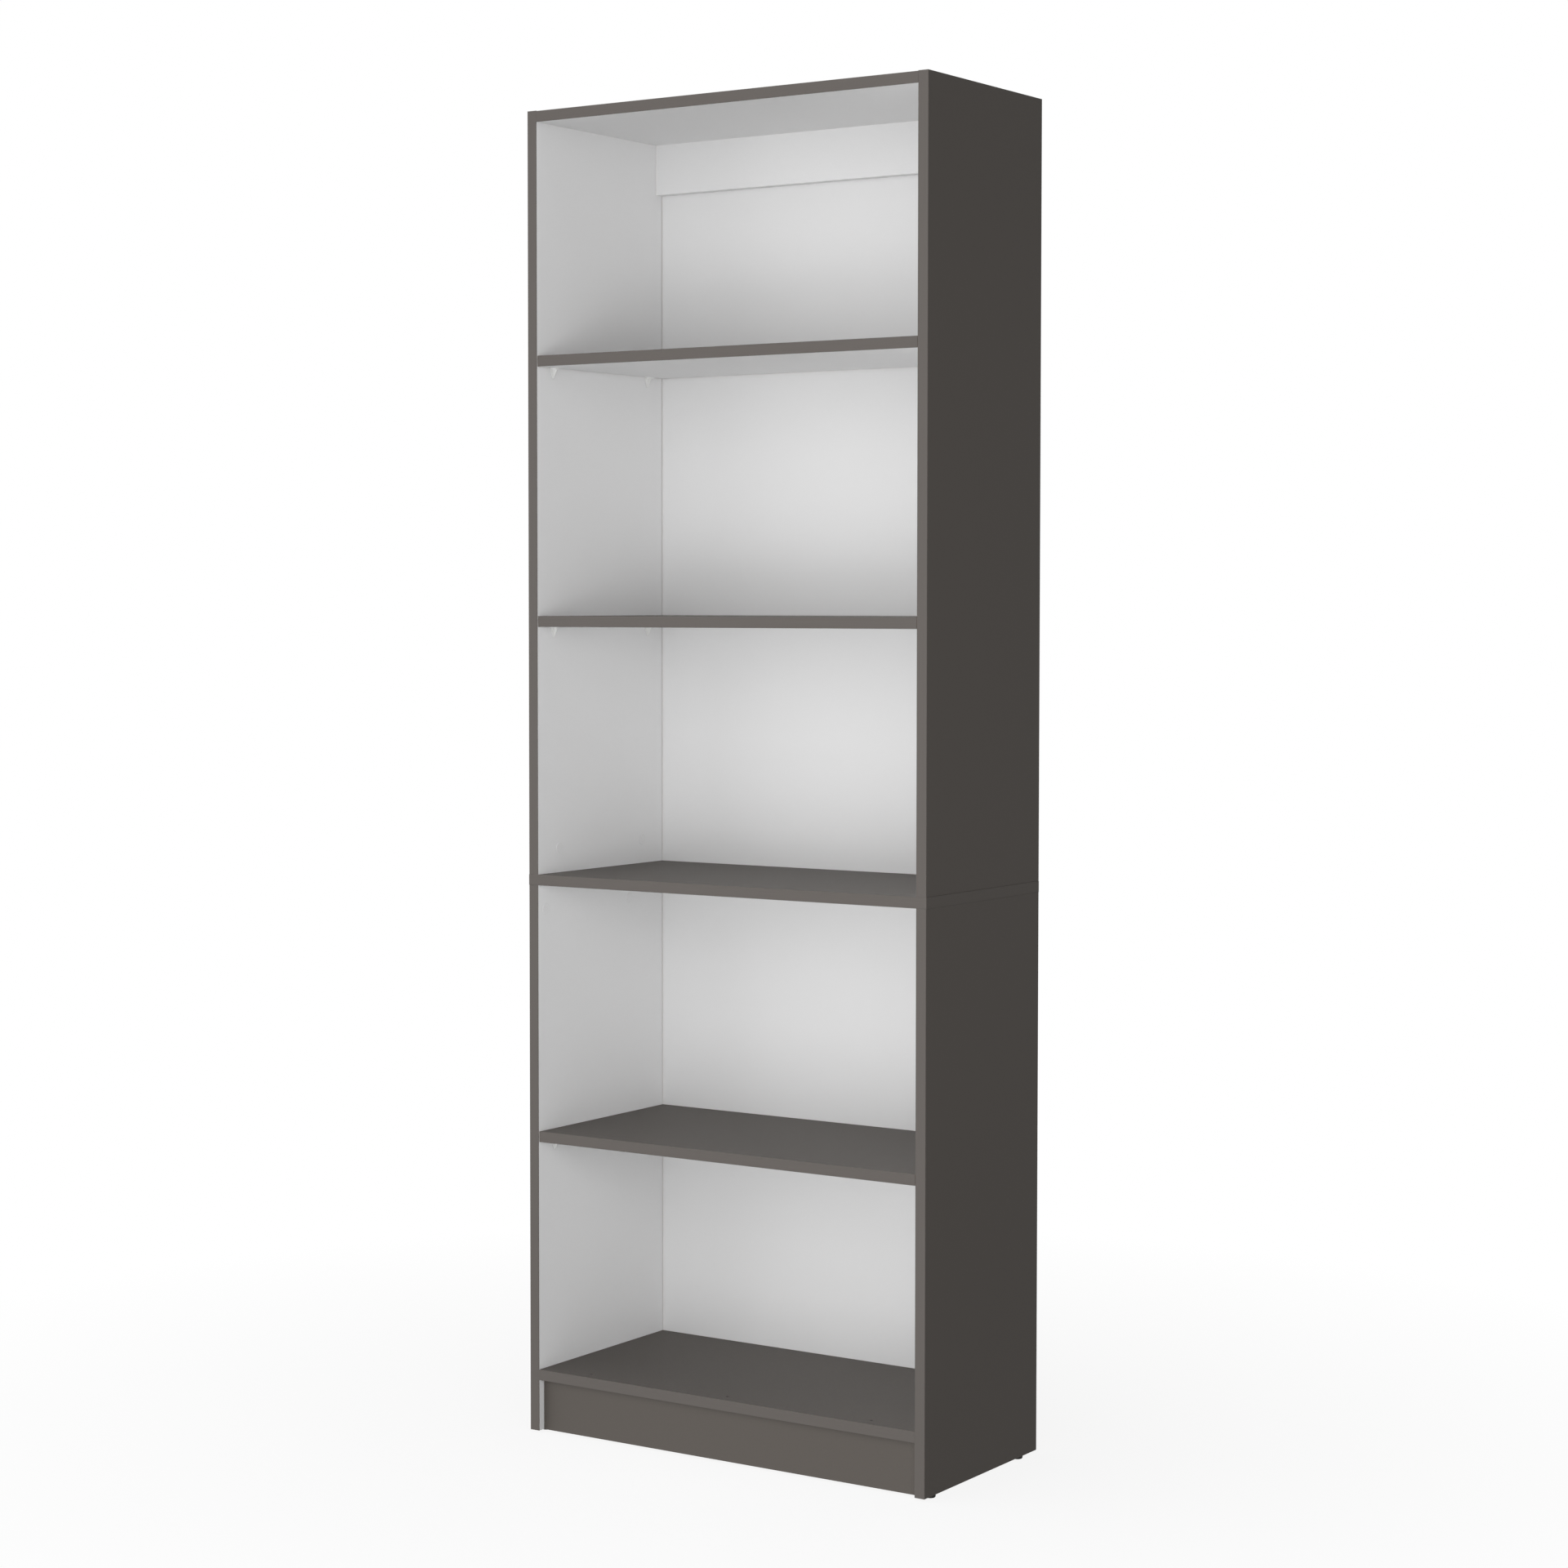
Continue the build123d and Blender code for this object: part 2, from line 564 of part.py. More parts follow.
with BuildPart() as rail_cams:
    with Locations(*RAIL_CAMS):
        add(cam.part)
keep(rail_cams, "rail_cams")

with BuildPart() as side_cam_covers:
    with Locations(*SIDE_CAMS_LOWER, *SIDE_CAMS_UPPER):
        add(cover.part)
keep(side_cam_covers, "side_cam_covers")

with BuildPart() as top_cam_covers:
    with Locations(*TOP_CAMS):
        add(cover.part)
keep(top_cam_covers, "top_cam_covers")

# bolts: from the middle panel down and up, and from the sides inwards
with BuildPart() as middle_cam_bolts:
    with Locations(*[
        Plane((s * X_MID, y, MID_LO), x_dir=(0, 0, -1), z_dir=(0, 1, 0))
        for s in (-1, 1) for y in CAM_Y_LOWER
    ]):
        add(bolt.part)
    with Locations(*[
        Plane((s * X_MID, y, MID_HI), x_dir=(0, 0, 1), z_dir=(0, 1, 0))
        for s in (-1, 1) for y in CAM_Y_UPPER
    ]):
        add(bolt.part)
keep(middle_cam_bolts, "middle_cam_bolts")

with BuildPart() as top_cam_bolts:
    with Locations(*[
        Plane((s * INNER, y, TOP_LO + T / 2), x_dir=(-s, 0, 0), z_dir=(0, 0, 1))
        for s in (-1, 1) for y in CAM_Y_ENDS
    ]):
        add(bolt.part)
keep(top_cam_bolts, "top_cam_bolts")

with BuildPart() as bottom_cam_bolts:
    with Locations(*[
        Plane((s * INNER, y, BOT_LO + T / 2), x_dir=(-s, 0, 0), z_dir=(0, 0, 1))
        for s in (-1, 1) for y in CAM_Y_ENDS
    ]):
        add(bolt.part)
keep(bottom_cam_bolts, "bottom_cam_bolts")

with BuildPart() as rail_cam_bolts:
    with Locations(*[
        Plane((s * INNER, RAIL_Y, RAIL_CAM_Z), x_dir=(-s, 0, 0), z_dir=(0, 0, 1))
        for s in (-1, 1)
    ]):
        add(bolt.part)
keep(rail_cam_bolts, "rail_cam_bolts")

# ----------------------------------------------------------------- dowels
# Drawn along +Z from the joint: one end in the board's face, the other in the
# end of the board that meets it.
with BuildPart() as dowel:
    with BuildSketch(Plane.XY.offset(-(DOWEL_FACE_DEPTH - DOWEL_CLEAR))):
        Circle(DOWEL_R)
    extrude(amount=DOWEL_FACE_DEPTH + DOWEL_EDGE_DEPTH - 2 * DOWEL_CLEAR)
    chamfer(dowel.edges().filter_by(GeomType.CIRCLE), 1.0)

with BuildPart() as middle_dowels:
    with Locations(
        *[Plane((s * X_MID, y, MID_LO), z_dir=(0, 0, -1)) for s in (-1, 1) for y in DOWEL_Y_LOWER],
        *[Plane((s * X_MID, y, MID_HI), z_dir=(0, 0, 1)) for s in (-1, 1) for y in DOWEL_Y_UPPER],
    ):
        add(dowel.part)
keep(middle_dowels, "middle_dowels")

with BuildPart() as top_dowels:
    with Locations(*[Plane((s * INNER, y, TOP_LO + T / 2), z_dir=(-s, 0, 0)) for s in (-1, 1) for y in DOWEL_Y_ENDS]):
        add(dowel.part)
    with Locations(*[Plane((s * INNER, RAIL_Y, RAIL_DOWEL_Z), z_dir=(-s, 0, 0)) for s in (-1, 1)]):
        add(dowel.part)
keep(top_dowels, "top_dowels")

with BuildPart() as bottom_dowels:
    with Locations(*[Plane((s * INNER, y, BOT_LO + T / 2), z_dir=(-s, 0, 0)) for s in (-1, 1) for y in DOWEL_Y_ENDS]):
        add(dowel.part)
    with Locations(*[Plane((s * INNER, KICK_Y, Z0 + KICK_H / 2), z_dir=(-s, 0, 0)) for s in (-1, 1)]):
        add(dowel.part)
keep(bottom_dowels, "bottom_dowels")

# ------------------------------------------------------------ kick screws
# Slim countersunk chipboard screw with a trim head and a cross recess, drawn
# pointing down, its head just under the face of the board at z = 0.
with BuildPart() as screw:
    with BuildSketch(Plane.XZ):
        with BuildLine():
            Polyline(
                (0, -SCREW_SUNK),
                (SCREW_HEAD_R - 0.15, -SCREW_SUNK),
                (SCREW_R, -SCREW_SUNK - (SCREW_HEAD_R - 0.15 - SCREW_R)),
                (SCREW_R, 5.0 - SCREW_L),
                (0, -SCREW_L),
                close=True,
            )
        make_face()
    revolve(axis=Axis.Z)
    with BuildSketch(Plane.XY.offset(-SCREW_SUNK)):
        Rectangle(2.6, 0.6)
        Rectangle(0.6, 2.6)
    extrude(amount=-1.2, mode=Mode.SUBTRACT)

with BuildPart() as kick_screws:
    with Locations(*[(x, KICK_Y, BOT_HI) for x in KICK_SCREWS_X]):
        add(screw.part)
keep(kick_screws, "kick_screws")

# ------------------------------------------------------------- back nails
# Drawn pointing along -Y, the head's underside on the hardboard.
with BuildPart() as nail:
    with BuildSketch(Plane.XY):
        with BuildLine():
            Polyline(
                (0, NAIL_HEAD_T),
                (NAIL_HEAD_R - 0.3, NAIL_HEAD_T),
                (NAIL_HEAD_R, NAIL_HEAD_T / 2),
                (NAIL_HEAD_R, 0),
                (NAIL_R, 0),
                (NAIL_R, -NAIL_L + 1.5),
                (0, -NAIL_L),
                close=True,
            )
        make_face()
    revolve(axis=Axis.Y)

with BuildPart() as back_nails_lower:
    with Locations(*[(x, Y_REAR + BACK_T, z) for x, z in NAILS_LOWER]):
        add(nail.part)
keep(back_nails_lower, "back_nails_lower")

with BuildPart() as back_nails_upper:
    with Locations(*[(x, Y_REAR + BACK_T, z) for x, z in NAILS_UPPER]):
        add(nail.part)
keep(back_nails_upper, "back_nails_upper")

# ------------------------------------------------------------ floor glides
with BuildPart() as glide:
    with BuildSketch(Plane.XZ):
        with BuildLine():
            Polyline(
                (0, 0),
                (GLIDE_R - 1.5, 0),
                (GLIDE_R - 0.4, 0.8),
                (GLIDE_R, 2.0),
                (GLIDE_R, GLIDE_H),
                (1.2, GLIDE_H),
                (1.2, GLIDE_H + 13.0),
                (0, GLIDE_H + 15.0),
                close=True,
            )
        make_face()
    revolve(axis=Axis.Z)

with BuildPart() as floor_glides:
    with Locations(*[
        (s * X_MID, Y0 + y, 0) for s in (-1, 1) for y in (GLIDE_FRONT, GLIDE_REAR)
    ]):
        add(glide.part)
keep(floor_glides, "floor_glides")

# ----------------------------------------------------------------- export
os.makedirs("parts", exist_ok=True)
for name, part in made:
    export_step(part, f"parts/{name}.step")
    print(name, len(part.solids()), round(part.volume))
print("nodes", len(made))
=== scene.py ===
import math

import bmesh
import bpy
from mathutils import Matrix, Vector


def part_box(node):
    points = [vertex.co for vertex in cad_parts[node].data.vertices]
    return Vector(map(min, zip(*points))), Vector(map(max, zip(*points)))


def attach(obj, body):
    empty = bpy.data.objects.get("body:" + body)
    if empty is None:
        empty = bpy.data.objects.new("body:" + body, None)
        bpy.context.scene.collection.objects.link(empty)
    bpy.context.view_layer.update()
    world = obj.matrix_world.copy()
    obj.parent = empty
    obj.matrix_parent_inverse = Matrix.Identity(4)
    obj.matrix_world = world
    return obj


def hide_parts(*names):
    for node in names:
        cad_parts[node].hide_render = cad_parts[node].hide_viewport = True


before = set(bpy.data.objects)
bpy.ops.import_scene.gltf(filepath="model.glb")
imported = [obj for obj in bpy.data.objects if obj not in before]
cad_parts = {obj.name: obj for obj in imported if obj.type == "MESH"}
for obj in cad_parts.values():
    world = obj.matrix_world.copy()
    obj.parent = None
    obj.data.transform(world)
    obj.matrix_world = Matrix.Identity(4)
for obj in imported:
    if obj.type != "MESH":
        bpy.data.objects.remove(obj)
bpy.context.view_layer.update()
MM = 0.001

# =====================================================================
# Places, all read from the frame's own boxes (metres)
# =====================================================================
side_lo_l, side_hi_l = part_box("left_side_lower")
side_lo_u, side_hi_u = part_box("left_side_upper")
mid_lo, mid_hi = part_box("middle_panel")
top_lo, top_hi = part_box("top_panel")
bot_lo, bot_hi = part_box("bottom_panel")
kick_lo, kick_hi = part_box("kick_panel")
rail_lo, rail_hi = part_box("top_rail")
band_lo, band_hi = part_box("side_front_bands")

T = mid_hi.z - mid_lo.z                 # board thickness, 15 mm
Y0 = band_lo.y                          # front plane
Y_REAR = side_hi_l.y                    # rear edges of the boards
X_OUT = -side_lo_l.x                    # outer faces
X_IN = -side_hi_l.x                     # inner faces
X_MID = (X_OUT + X_IN) / 2
Z_KICK = (kick_lo.z + kick_hi.z) / 2
KICK_Y = (kick_lo.y + kick_hi.y) / 2
RAIL_Y = (rail_lo.y + rail_hi.y) / 2
BOT_MID = (bot_lo.z + bot_hi.z) / 2
TOP_MID = (top_lo.z + top_hi.z) / 2

CAM_EDGE = 34 * MM
CAM_Y_LOWER = (Y0 + 18.5 * MM, Y0 + 217.5 * MM)
CAM_Y_UPPER = (Y0 + 50.5 * MM, Y0 + 249.5 * MM)
DOWEL_Y_LOWER = (Y0 + 82.5 * MM, Y0 + 274.5 * MM)
DOWEL_Y_UPPER = (Y0 + 114.5 * MM, Y0 + 185.0 * MM)
CAM_Y_ENDS = (Y0 + 50.5 * MM, Y0 + 249.5 * MM)
DOWEL_Y_ENDS = (Y0 + 82.5 * MM, Y0 + 217.5 * MM)
X_CAM = X_IN - CAM_EDGE
RAIL_CAM_Z = rail_lo.z + 24 * MM
RAIL_DOWEL_Z = rail_lo.z + 52 * MM
GLIDE_Y = (Y0 + 27 * MM, Y0 + 260 * MM)
SCREW_X = (-0.228, 0.0, 0.228)
SHELVES = ("lower", "second", "upper")
shelf_box = {s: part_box(f"{s}_shelf") for s in SHELVES}
PEG_DROP = 6 * MM
PEG_Y = {
    end: sum(v.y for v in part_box(f"upper_peg_left_{end}")) / 2 for end in ("front", "rear")
}

# =====================================================================
# Materials
# =====================================================================
DARK = (0.0935, 0.0823, 0.0726)
BAND = (0.1070, 0.0955, 0.0875)
WHITE = (0.840, 0.8405, 0.8425)


class Mat:
    """A node material, with small helpers that keep the graphs readable."""

    def __init__(self, name, roughness=0.5, ior=1.5, specular=0.5, metallic=0.0):
        self.m = bpy.data.materials.new(name)
        self.m.use_nodes = True
        self.nt = self.m.node_tree
        self.bsdf = next(n for n in self.nt.nodes if n.type == "BSDF_PRINCIPLED")
        self.bsdf.inputs["Roughness"].default_value = roughness
        self.bsdf.inputs["IOR"].default_value = ior
        self.bsdf.inputs["Specular IOR Level"].default_value = specular
        self.bsdf.inputs["Metallic"].default_value = metallic
        self.coord = self.nt.nodes.new("ShaderNodeTexCoord").outputs["Object"]

    def mapping(self, scale=(1, 1, 1), offset=(0, 0, 0)):
        n = self.nt.nodes.new("ShaderNodeMapping")
        n.inputs["Scale"].default_value = scale
        n.inputs["Location"].default_value = offset
        self.nt.links.new(self.coord, n.inputs["Vector"])
        return n.outputs["Vector"]

    def noise(self, scale, detail=2.0, rough=0.5, vector=None, distortion=0.0):
        n = self.nt.nodes.new("ShaderNodeTexNoise")
        n.inputs["Scale"].default_value = scale
        n.inputs["Detail"].default_value = detail
        n.inputs["Roughness"].default_value = rough
        n.inputs["Distortion"].default_value = distortion
        self.nt.links.new(vector or self.coord, n.inputs["Vector"])
        return n.outputs["Fac"]

    def voronoi(self, scale, vector=None, feature="F1", out="Distance", randomness=1.0):
        n = self.nt.nodes.new("ShaderNodeTexVoronoi")
        n.feature = feature
        n.inputs["Scale"].default_value = scale
        n.inputs["Randomness"].default_value = randomness
        self.nt.links.new(vector or self.coord, n.inputs["Vector"])
        return n.outputs[out]

    def span(self, fac, lo, hi, frm=(0.3, 0.7)):
        n = self.nt.nodes.new("ShaderNodeMapRange")
        n.inputs["From Min"].default_value = frm[0]
        n.inputs["From Max"].default_value = frm[1]
        n.inputs["To Min"].default_value = lo
        n.inputs["To Max"].default_value = hi
        self.nt.links.new(fac, n.inputs["Value"])
        return n.outputs["Result"]

    def math(self, op, a, b):
        n = self.nt.nodes.new("ShaderNodeMath")
        n.operation = op
        for i, v in enumerate((a, b)):
            if isinstance(v, (int, float)):
                n.inputs[i].default_value = v
            else:
                self.nt.links.new(v, n.inputs[i])
        return n.outputs[0]

    def mix(self, fac, a, b, blend="MIX"):
        n = self.nt.nodes.new("ShaderNodeMix")
        n.data_type = "RGBA"
        n.blend_type = blend
        for i, v in ((0, fac), (6, a), (7, b)):
            if isinstance(v, (int, float)):
                n.inputs[i].default_value = v
            elif isinstance(v, tuple):
                n.inputs[i].default_value = (*v, 1.0)
            else:
                self.nt.links.new(v, n.inputs[i])
        return n.outputs[2]

    def scaled(self, rgb, fac):
        """A colour times a grey factor that varies over the surface."""
        n = self.nt.nodes.new("ShaderNodeVectorMath")
        n.operation = "SCALE"
        if isinstance(rgb, tuple):
            n.inputs[0].default_value = rgb
        else:
            self.nt.links.new(rgb, n.inputs[0])
        self.nt.links.new(fac, n.inputs["Scale"])
        return n.outputs["Vector"]

    def colour(self, v):
        self.nt.links.new(v, self.bsdf.inputs["Base Color"])

    def rough(self, v):
        self.nt.links.new(v, self.bsdf.inputs["Roughness"])

    def bump(self, height, distance, strength=1.0):
        n = self.nt.nodes.new("ShaderNodeBump")
        n.inputs["Strength"].default_value = strength
        n.inputs["Distance"].default_value = distance
        self.nt.links.new(height, n.inputs["Height"])
        self.nt.links.new(n.outputs["Normal"], self.bsdf.inputs["Normal"])


def melamine(name, rgb, rough, speckle, specular):
    """Printed paper pressed on chipboard: an even colour with a faint cloud in it,
    a fine pearl grain pressed in by the plate, and a little unevenness of gloss."""
    m = Mat(name, roughness=rough, specular=specular)
    cloud = m.span(m.noise(4.0, 3.0), 0.994, 1.006)
    fine = m.span(m.noise(1100.0, 2.0), 1.0 - speckle, 1.0 + speckle)
    m.colour(m.scaled(m.scaled(rgb, cloud), fine))
    m.rough(m.span(m.noise(900.0, 2.0), rough - 0.03, rough + 0.03))
    pearl = m.math("ADD", m.noise(1500.0, 1.0), m.math("MULTIPLY", m.noise(700.0, 1.0), 0.8))
    m.bump(pearl, 0.00002, 0.5)
    return m.m


def chipboard(name):
    """Raw pressed chips on a cut edge or in a drilled hole."""
    m = Mat(name, roughness=0.9, specular=0.2)
    flat = m.mapping((1.0, 1.0, 1.6))
    chips = m.voronoi(430.0, flat, out="Color")
    sep = m.nt.nodes.new("ShaderNodeSeparateColor")
    m.nt.links.new(chips, sep.inputs["Color"])
    tone = m.math("ADD", m.math("MULTIPLY", sep.outputs["Red"], 0.65),
                  m.math("MULTIPLY", m.noise(2200.0, 3.0), 0.35))
    c = m.mix(tone, (0.30, 0.205, 0.120), (0.62, 0.485, 0.330))
    gaps = m.span(m.voronoi(430.0, flat, feature="DISTANCE_TO_EDGE"), 0.55, 1.0, (0.0, 0.08))
    m.colour(m.scaled(c, gaps))
    m.bump(m.math("ADD", sep.outputs["Green"], m.noise(1800.0, 3.0)), 0.00012, 0.8)
    return m.m


def hardboard_rear(name):
    """The brown screen-marked side of hardboard."""
    m = Mat(name, roughness=0.8, specular=0.25)
    fibres = m.noise(240.0, 5.0, 0.65, m.mapping((1.0, 1.0, 0.35)), 0.6)
    cloud = m.noise(9.0, 3.0)
    c = m.mix(m.span(fibres, 0.0, 1.0), (0.205, 0.125, 0.070), (0.335, 0.220, 0.130))
    m.colour(m.scaled(c, m.span(cloud, 0.93, 1.07)))
    waves = []
    for direction in ("X", "Z"):
        n = m.nt.nodes.new("ShaderNodeTexWave")
        n.wave_type = "BANDS"
        n.bands_direction = direction
        n.inputs["Scale"].default_value = 210.0
        n.inputs["Distortion"].default_value = 0.4
        n.inputs["Detail"].default_value = 1.0
        m.nt.links.new(m.coord, n.inputs["Vector"])
        waves.append(n.outputs["Fac"])
    m.bump(m.math("ADD", m.math("MULTIPLY", waves[0], waves[1]), m.math("MULTIPLY", fibres, 0.8)), 0.00008, 0.8)
    return m.m


def hardboard_face(name, rgb):
    """Hardboard's smooth side under white paint: the rollers leave a faint stipple."""
    m = Mat(name, roughness=0.52, specular=0.35)
    m.colour(m.scaled(rgb, m.span(m.noise(4.0, 3.0), 0.995, 1.005)))
    m.rough(m.span(m.noise(400.0, 3.0), 0.48, 0.56))
    m.bump(m.math("ADD", m.noise(900.0, 2.0), m.math("MULTIPLY", m.noise(380.0, 1.0), 0.6)), 0.00002, 0.5)
    return m.m


def edge_band(name, rgb, axis):
    """Extruded band: very fine lines along it and a slightly closer surface."""
    m = Mat(name, roughness=0.46, specular=0.18)
    lines = m.noise(1.0, 3.0, 0.6, m.mapping(tuple(18.0 if a == axis else 1600.0 for a in "xyz")))
    cloud = m.noise(6.0, 2.0)
    m.colour(m.scaled(m.scaled(rgb, m.span(cloud, 0.995, 1.005)), m.span(lines, 0.97, 1.03)))
    m.rough(m.span(m.noise(900.0, 2.0), 0.43, 0.49))
    m.bump(m.math("ADD", lines, m.noise(1200.0, 1.0)), 0.00002, 0.4)
    return m.m


def plastic(name, rgb, rough, grain=1200.0, depth=0.00002):
    m = Mat(name, roughness=rough, ior=1.49, specular=0.5)
    m.colour(m.scaled(rgb, m.span(m.noise(300.0, 2.0), 0.975, 1.02)))
    m.rough(m.span(m.noise(500.0, 2.0), rough - 0.05, rough + 0.05))
    m.bump(m.noise(grain, 2.0), depth, 0.5)
    return m.m


def metal(name, rgb, rough, grain, depth, metallic=1.0, stretch=(1, 1, 1)):
    m = Mat(name, roughness=rough, metallic=metallic)
    v = m.mapping(stretch)
    m.colour(m.scaled(rgb, m.span(m.noise(grain * 0.2, 3.0, 0.6, v), 0.86, 1.08)))
    m.rough(m.span(m.noise(grain * 0.4, 3.0, 0.6, v), rough - 0.10, rough + 0.10))
    m.bump(m.noise(grain, 3.0, 0.6, v), depth, 0.6)
    return m.m


def beech(name, axis):
    """Straight grain along the dowel, with the short dark flecks of beech."""
    m = Mat(name, roughness=0.62, specular=0.3)
    along = {"x": (0.06, 1, 1), "z": (1, 1, 0.06)}[axis]
    grain = m.noise(900.0, 4.0, 0.6, m.mapping(along), 0.5)
    flecks = m.noise(2600.0, 2.0, 0.5, m.mapping(tuple(0.12 if v < 1 else 1 for v in along)))
    c = m.mix(m.span(grain, 0.0, 1.0), (0.50, 0.335, 0.190), (0.70, 0.515, 0.330))
    m.colour(m.mix(m.span(flecks, 0.0, 0.55, (0.62, 0.72)), c, (0.30, 0.17, 0.085)))
    m.bump(grain, 0.00005, 0.6)
    return m.m


dark_mel = melamine("dark_melamine", DARK, 0.50, 0.030, 0.18)
white_mel = melamine("white_melamine", WHITE, 0.50, 0.010, 0.35)
raw_chip = chipboard("chipboard_edge")
hb_white = hardboard_face("hardboard_white_face", WHITE)
hb_brown = hardboard_rear("hardboard_brown_rear")
bands_along = {a: edge_band("dark_edge_band_" + a, BAND, a) for a in "xyz"}
end_band = edge_band("dark_end_band", DARK, "y")
peg_mat = plastic("peg_plastic", (0.83, 0.83, 0.82), 0.34)
cap_mat = plastic("cap_plastic", (0.83, 0.83, 0.832), 0.46)
glide_mat = plastic("glide_plastic", (0.022, 0.021, 0.020), 0.46, 700.0, 0.00005)
zinc = metal("cast_zinc", (0.54, 0.54, 0.55), 0.46, 1500.0, 0.00006)
steel = metal("bright_steel", (0.64, 0.635, 0.62), 0.34, 900.0, 0.00003)
dark_steel = metal("dark_steel", (0.016, 0.015, 0.015), 0.58, 900.0, 0.00003, metallic=0.0)
beech_x = beech("beech_along_x", "x")
beech_z = beech("beech_along_z", "z")


# =====================================================================
# Mesh helpers
# =====================================================================
def link(name, bm, mats):
    me = bpy.data.meshes.new(name)
    bm.normal_update()
    bm.to_mesh(me)
    bm.free()
    for m in mats:
        me.materials.append(m)
    ob = bpy.data.objects.new(name, me)
    bpy.context.scene.collection.objects.link(ob)
    return ob


def evaluated(ob):
    """Puts the modifiers' result in the object's own mesh."""
    bpy.context.view_layer.update()
    dg = bpy.context.evaluated_depsgraph_get()
    me = bpy.data.meshes.new_from_object(ob.evaluated_get(dg), preserve_all_data_layers=True, depsgraph=dg)
    ob.modifiers.clear()
    old = ob.data
    ob.data = me
    me.name = ob.name
    bpy.data.meshes.remove(old)
    return ob


def shade(ob, degrees=12.0):
    me = ob.data
    me.polygons.foreach_set("use_smooth", [True] * len(me.polygons))
    me.set_sharp_from_angle(angle=math.radians(degrees))
    me.update()


def block(bm, lo, hi, bevels, mat_of):
    """Adds a bevelled block to bm. bevels(edge middle, edge direction) gives an edge's
    bevel; mat_of(face normal) gives a face's material index."""
    geo = bmesh.ops.create_cube(bm, size=1.0)
    size, mid = hi - lo, (hi + lo) / 2
    verts = geo["verts"]
    for v in verts:
        v.co = Vector((v.co.x * size.x, v.co.y * size.y, v.co.z * size.z)) + mid
    edges = list({e for v in verts for e in v.link_edges})
    groups = {}
    for e in edges:
        a, b = e.verts[0].co, e.verts[1].co
        width = bevels((a + b) / 2, (b - a).normalized())
        if width > 0:
            groups.setdefault(round(width, 7), []).append(e)
    marks = set(bm.faces)
    for width in sorted(groups, reverse=True):
        live = [e for e in groups[width] if e.is_valid]
        bmesh.ops.bevel(bm, geom=live, offset=width, offset_type="OFFSET", segments=3,
                        profile=0.5, affect="EDGES", clamp_overlap=True, loop_slide=True)
    bm.normal_update()
    near = lambda f: all(lo[i] - 1e-6 <= f.calc_center_median()[i] <= hi[i] + 1e-6 for i in range(3))
    for f in bm.faces:
        if f not in marks or near(f):
            f.material_index = mat_of(f.normal)
    return bm


def by_normal(table, rank):
    """The material of the face direction; on a bevel, the finish that ranks first."""
    def pick(n):
        found = []
        for key, idx in table.items():
            s = 1 if key[0] == "+" else -1
            if s * n["xyz".index(key[1])] > 0.30:
                found.append(idx)
        return min(found, key=rank.index) if found else 0
    return pick


def drill_mesh(name, holes):
    """Cutters for drilled holes: (mouth, direction, radius, depth[, countersink radius])."""
    bm = bmesh.new()
    for hole in holes:
        at, way, r, depth = Vector(hole[0]), Vector(hole[1]), hole[2], hole[3]
        spin = Vector((0, 0, 1)).rotation_difference(way).to_matrix().to_4x4()
        out = 0.001
        place = Matrix.Translation(at + way * ((depth - out) / 2)) @ spin
        segs = 48 if r > 0.003 else 32
        bmesh.ops.create_cone(bm, cap_ends=True, segments=segs, radius1=r, radius2=r,
                              depth=depth + out, matrix=place)
    return link(name, bm, [raw_chip])


def sink_mesh(name, holes):
    """Cutters for countersinks: (mouth, direction, mouth radius, hole radius), 90 degrees. Their walls take the
    dark melamine instead of raw chip: painted shade in the recess around the screw head.
    """
    bm = bmesh.new()
    for at, way, big, small in holes:
        at, way = Vector(at), Vector(way)
        spin = Vector((0, 0, 1)).rotation_difference(way).to_matrix().to_4x4()
        out = 0.0004
        depth = big - small + out
        place = Matrix.Translation(at + way * (depth / 2 - out)) @ spin
        bmesh.ops.create_cone(bm, cap_ends=True, segments=48, radius1=big + out, radius2=small,
                              depth=depth, matrix=place)
    return link(name, bm, [dark_mel])


def cut(ob, cutters):
    for c in cutters:
        mod = ob.modifiers.new("cut", "BOOLEAN")
        mod.operation = "DIFFERENCE"
        mod.solver = "EXACT"
        mod.object = c
        mod.material_mode = "TRANSFER"
    evaluated(ob)
    for c in cutters:
        bpy.data.objects.remove(c)


def put(ob, body, slot, *nodes):
    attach(ob, body)
    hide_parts(*nodes)
    return ob


# =====================================================================
# Boards
# =====================================================================
# Raw chip ranks before white, so the broken arrises of white faces show brown chipboard: the sawn edge's own
# colour, and at the joints painted shade for the dark contact lines there.
ARRIS_FINISH_AND_SHADE_RANK = (0, 2, 1)      # 0 dark, 2 raw, 1 white: which finish an arris shows


def flat_arris(ends):
    """Arrises of a lying board: tight where the front band is glued, broken by the saw cut behind and, by ends
    (mm), where it butts on the sides. Where a white face breaks there, the raw chip on the arris is the cut edge's
    own colour and also painted shade, a dark contact line at the joint."""
    def pick(mid, way, lo, hi):
        if abs(mid.y - lo.y) < 1e-5:
            return 0.02
        if abs(way.x) > 0.9:
            return 0.45
        return ends if abs(way.y) > 0.9 else 0.12
    return pick


def side_arris(s, upper):
    """Arrises of a side: the inner one behind is eased for the back panel; the raw chip on that wide arris is
    partly painted shade, a dark line in the corner.
    """
    def pick(mid, way, lo, hi):
        if abs(mid.y - lo.y) < 1e-5:
            return 0.02
        if abs(way.z) > 0.9:
            return 0.8 if abs(mid.x - s * X_IN) < 1e-5 else 0.2
        if upper and abs(mid.z - hi.z) < 1e-5:
            return 0.02
        return 0.35 if abs(way.y) > 0.9 else 0.12
    return pick


def front_arris(mid, way, lo, hi):
    """Arrises of an upright cross board: eased towards the room, where it meets others; where a white face breaks
    at a joint, the raw chip on the arris is partly painted shade, a dark contact line.
    """
    if abs(mid.y - lo.y) > 1e-5:
        return 0.12
    if abs(way.z) > 0.9:
        return 0.5
    return 0.45 if abs(mid.z - hi.z) < 1e-5 else 0.2


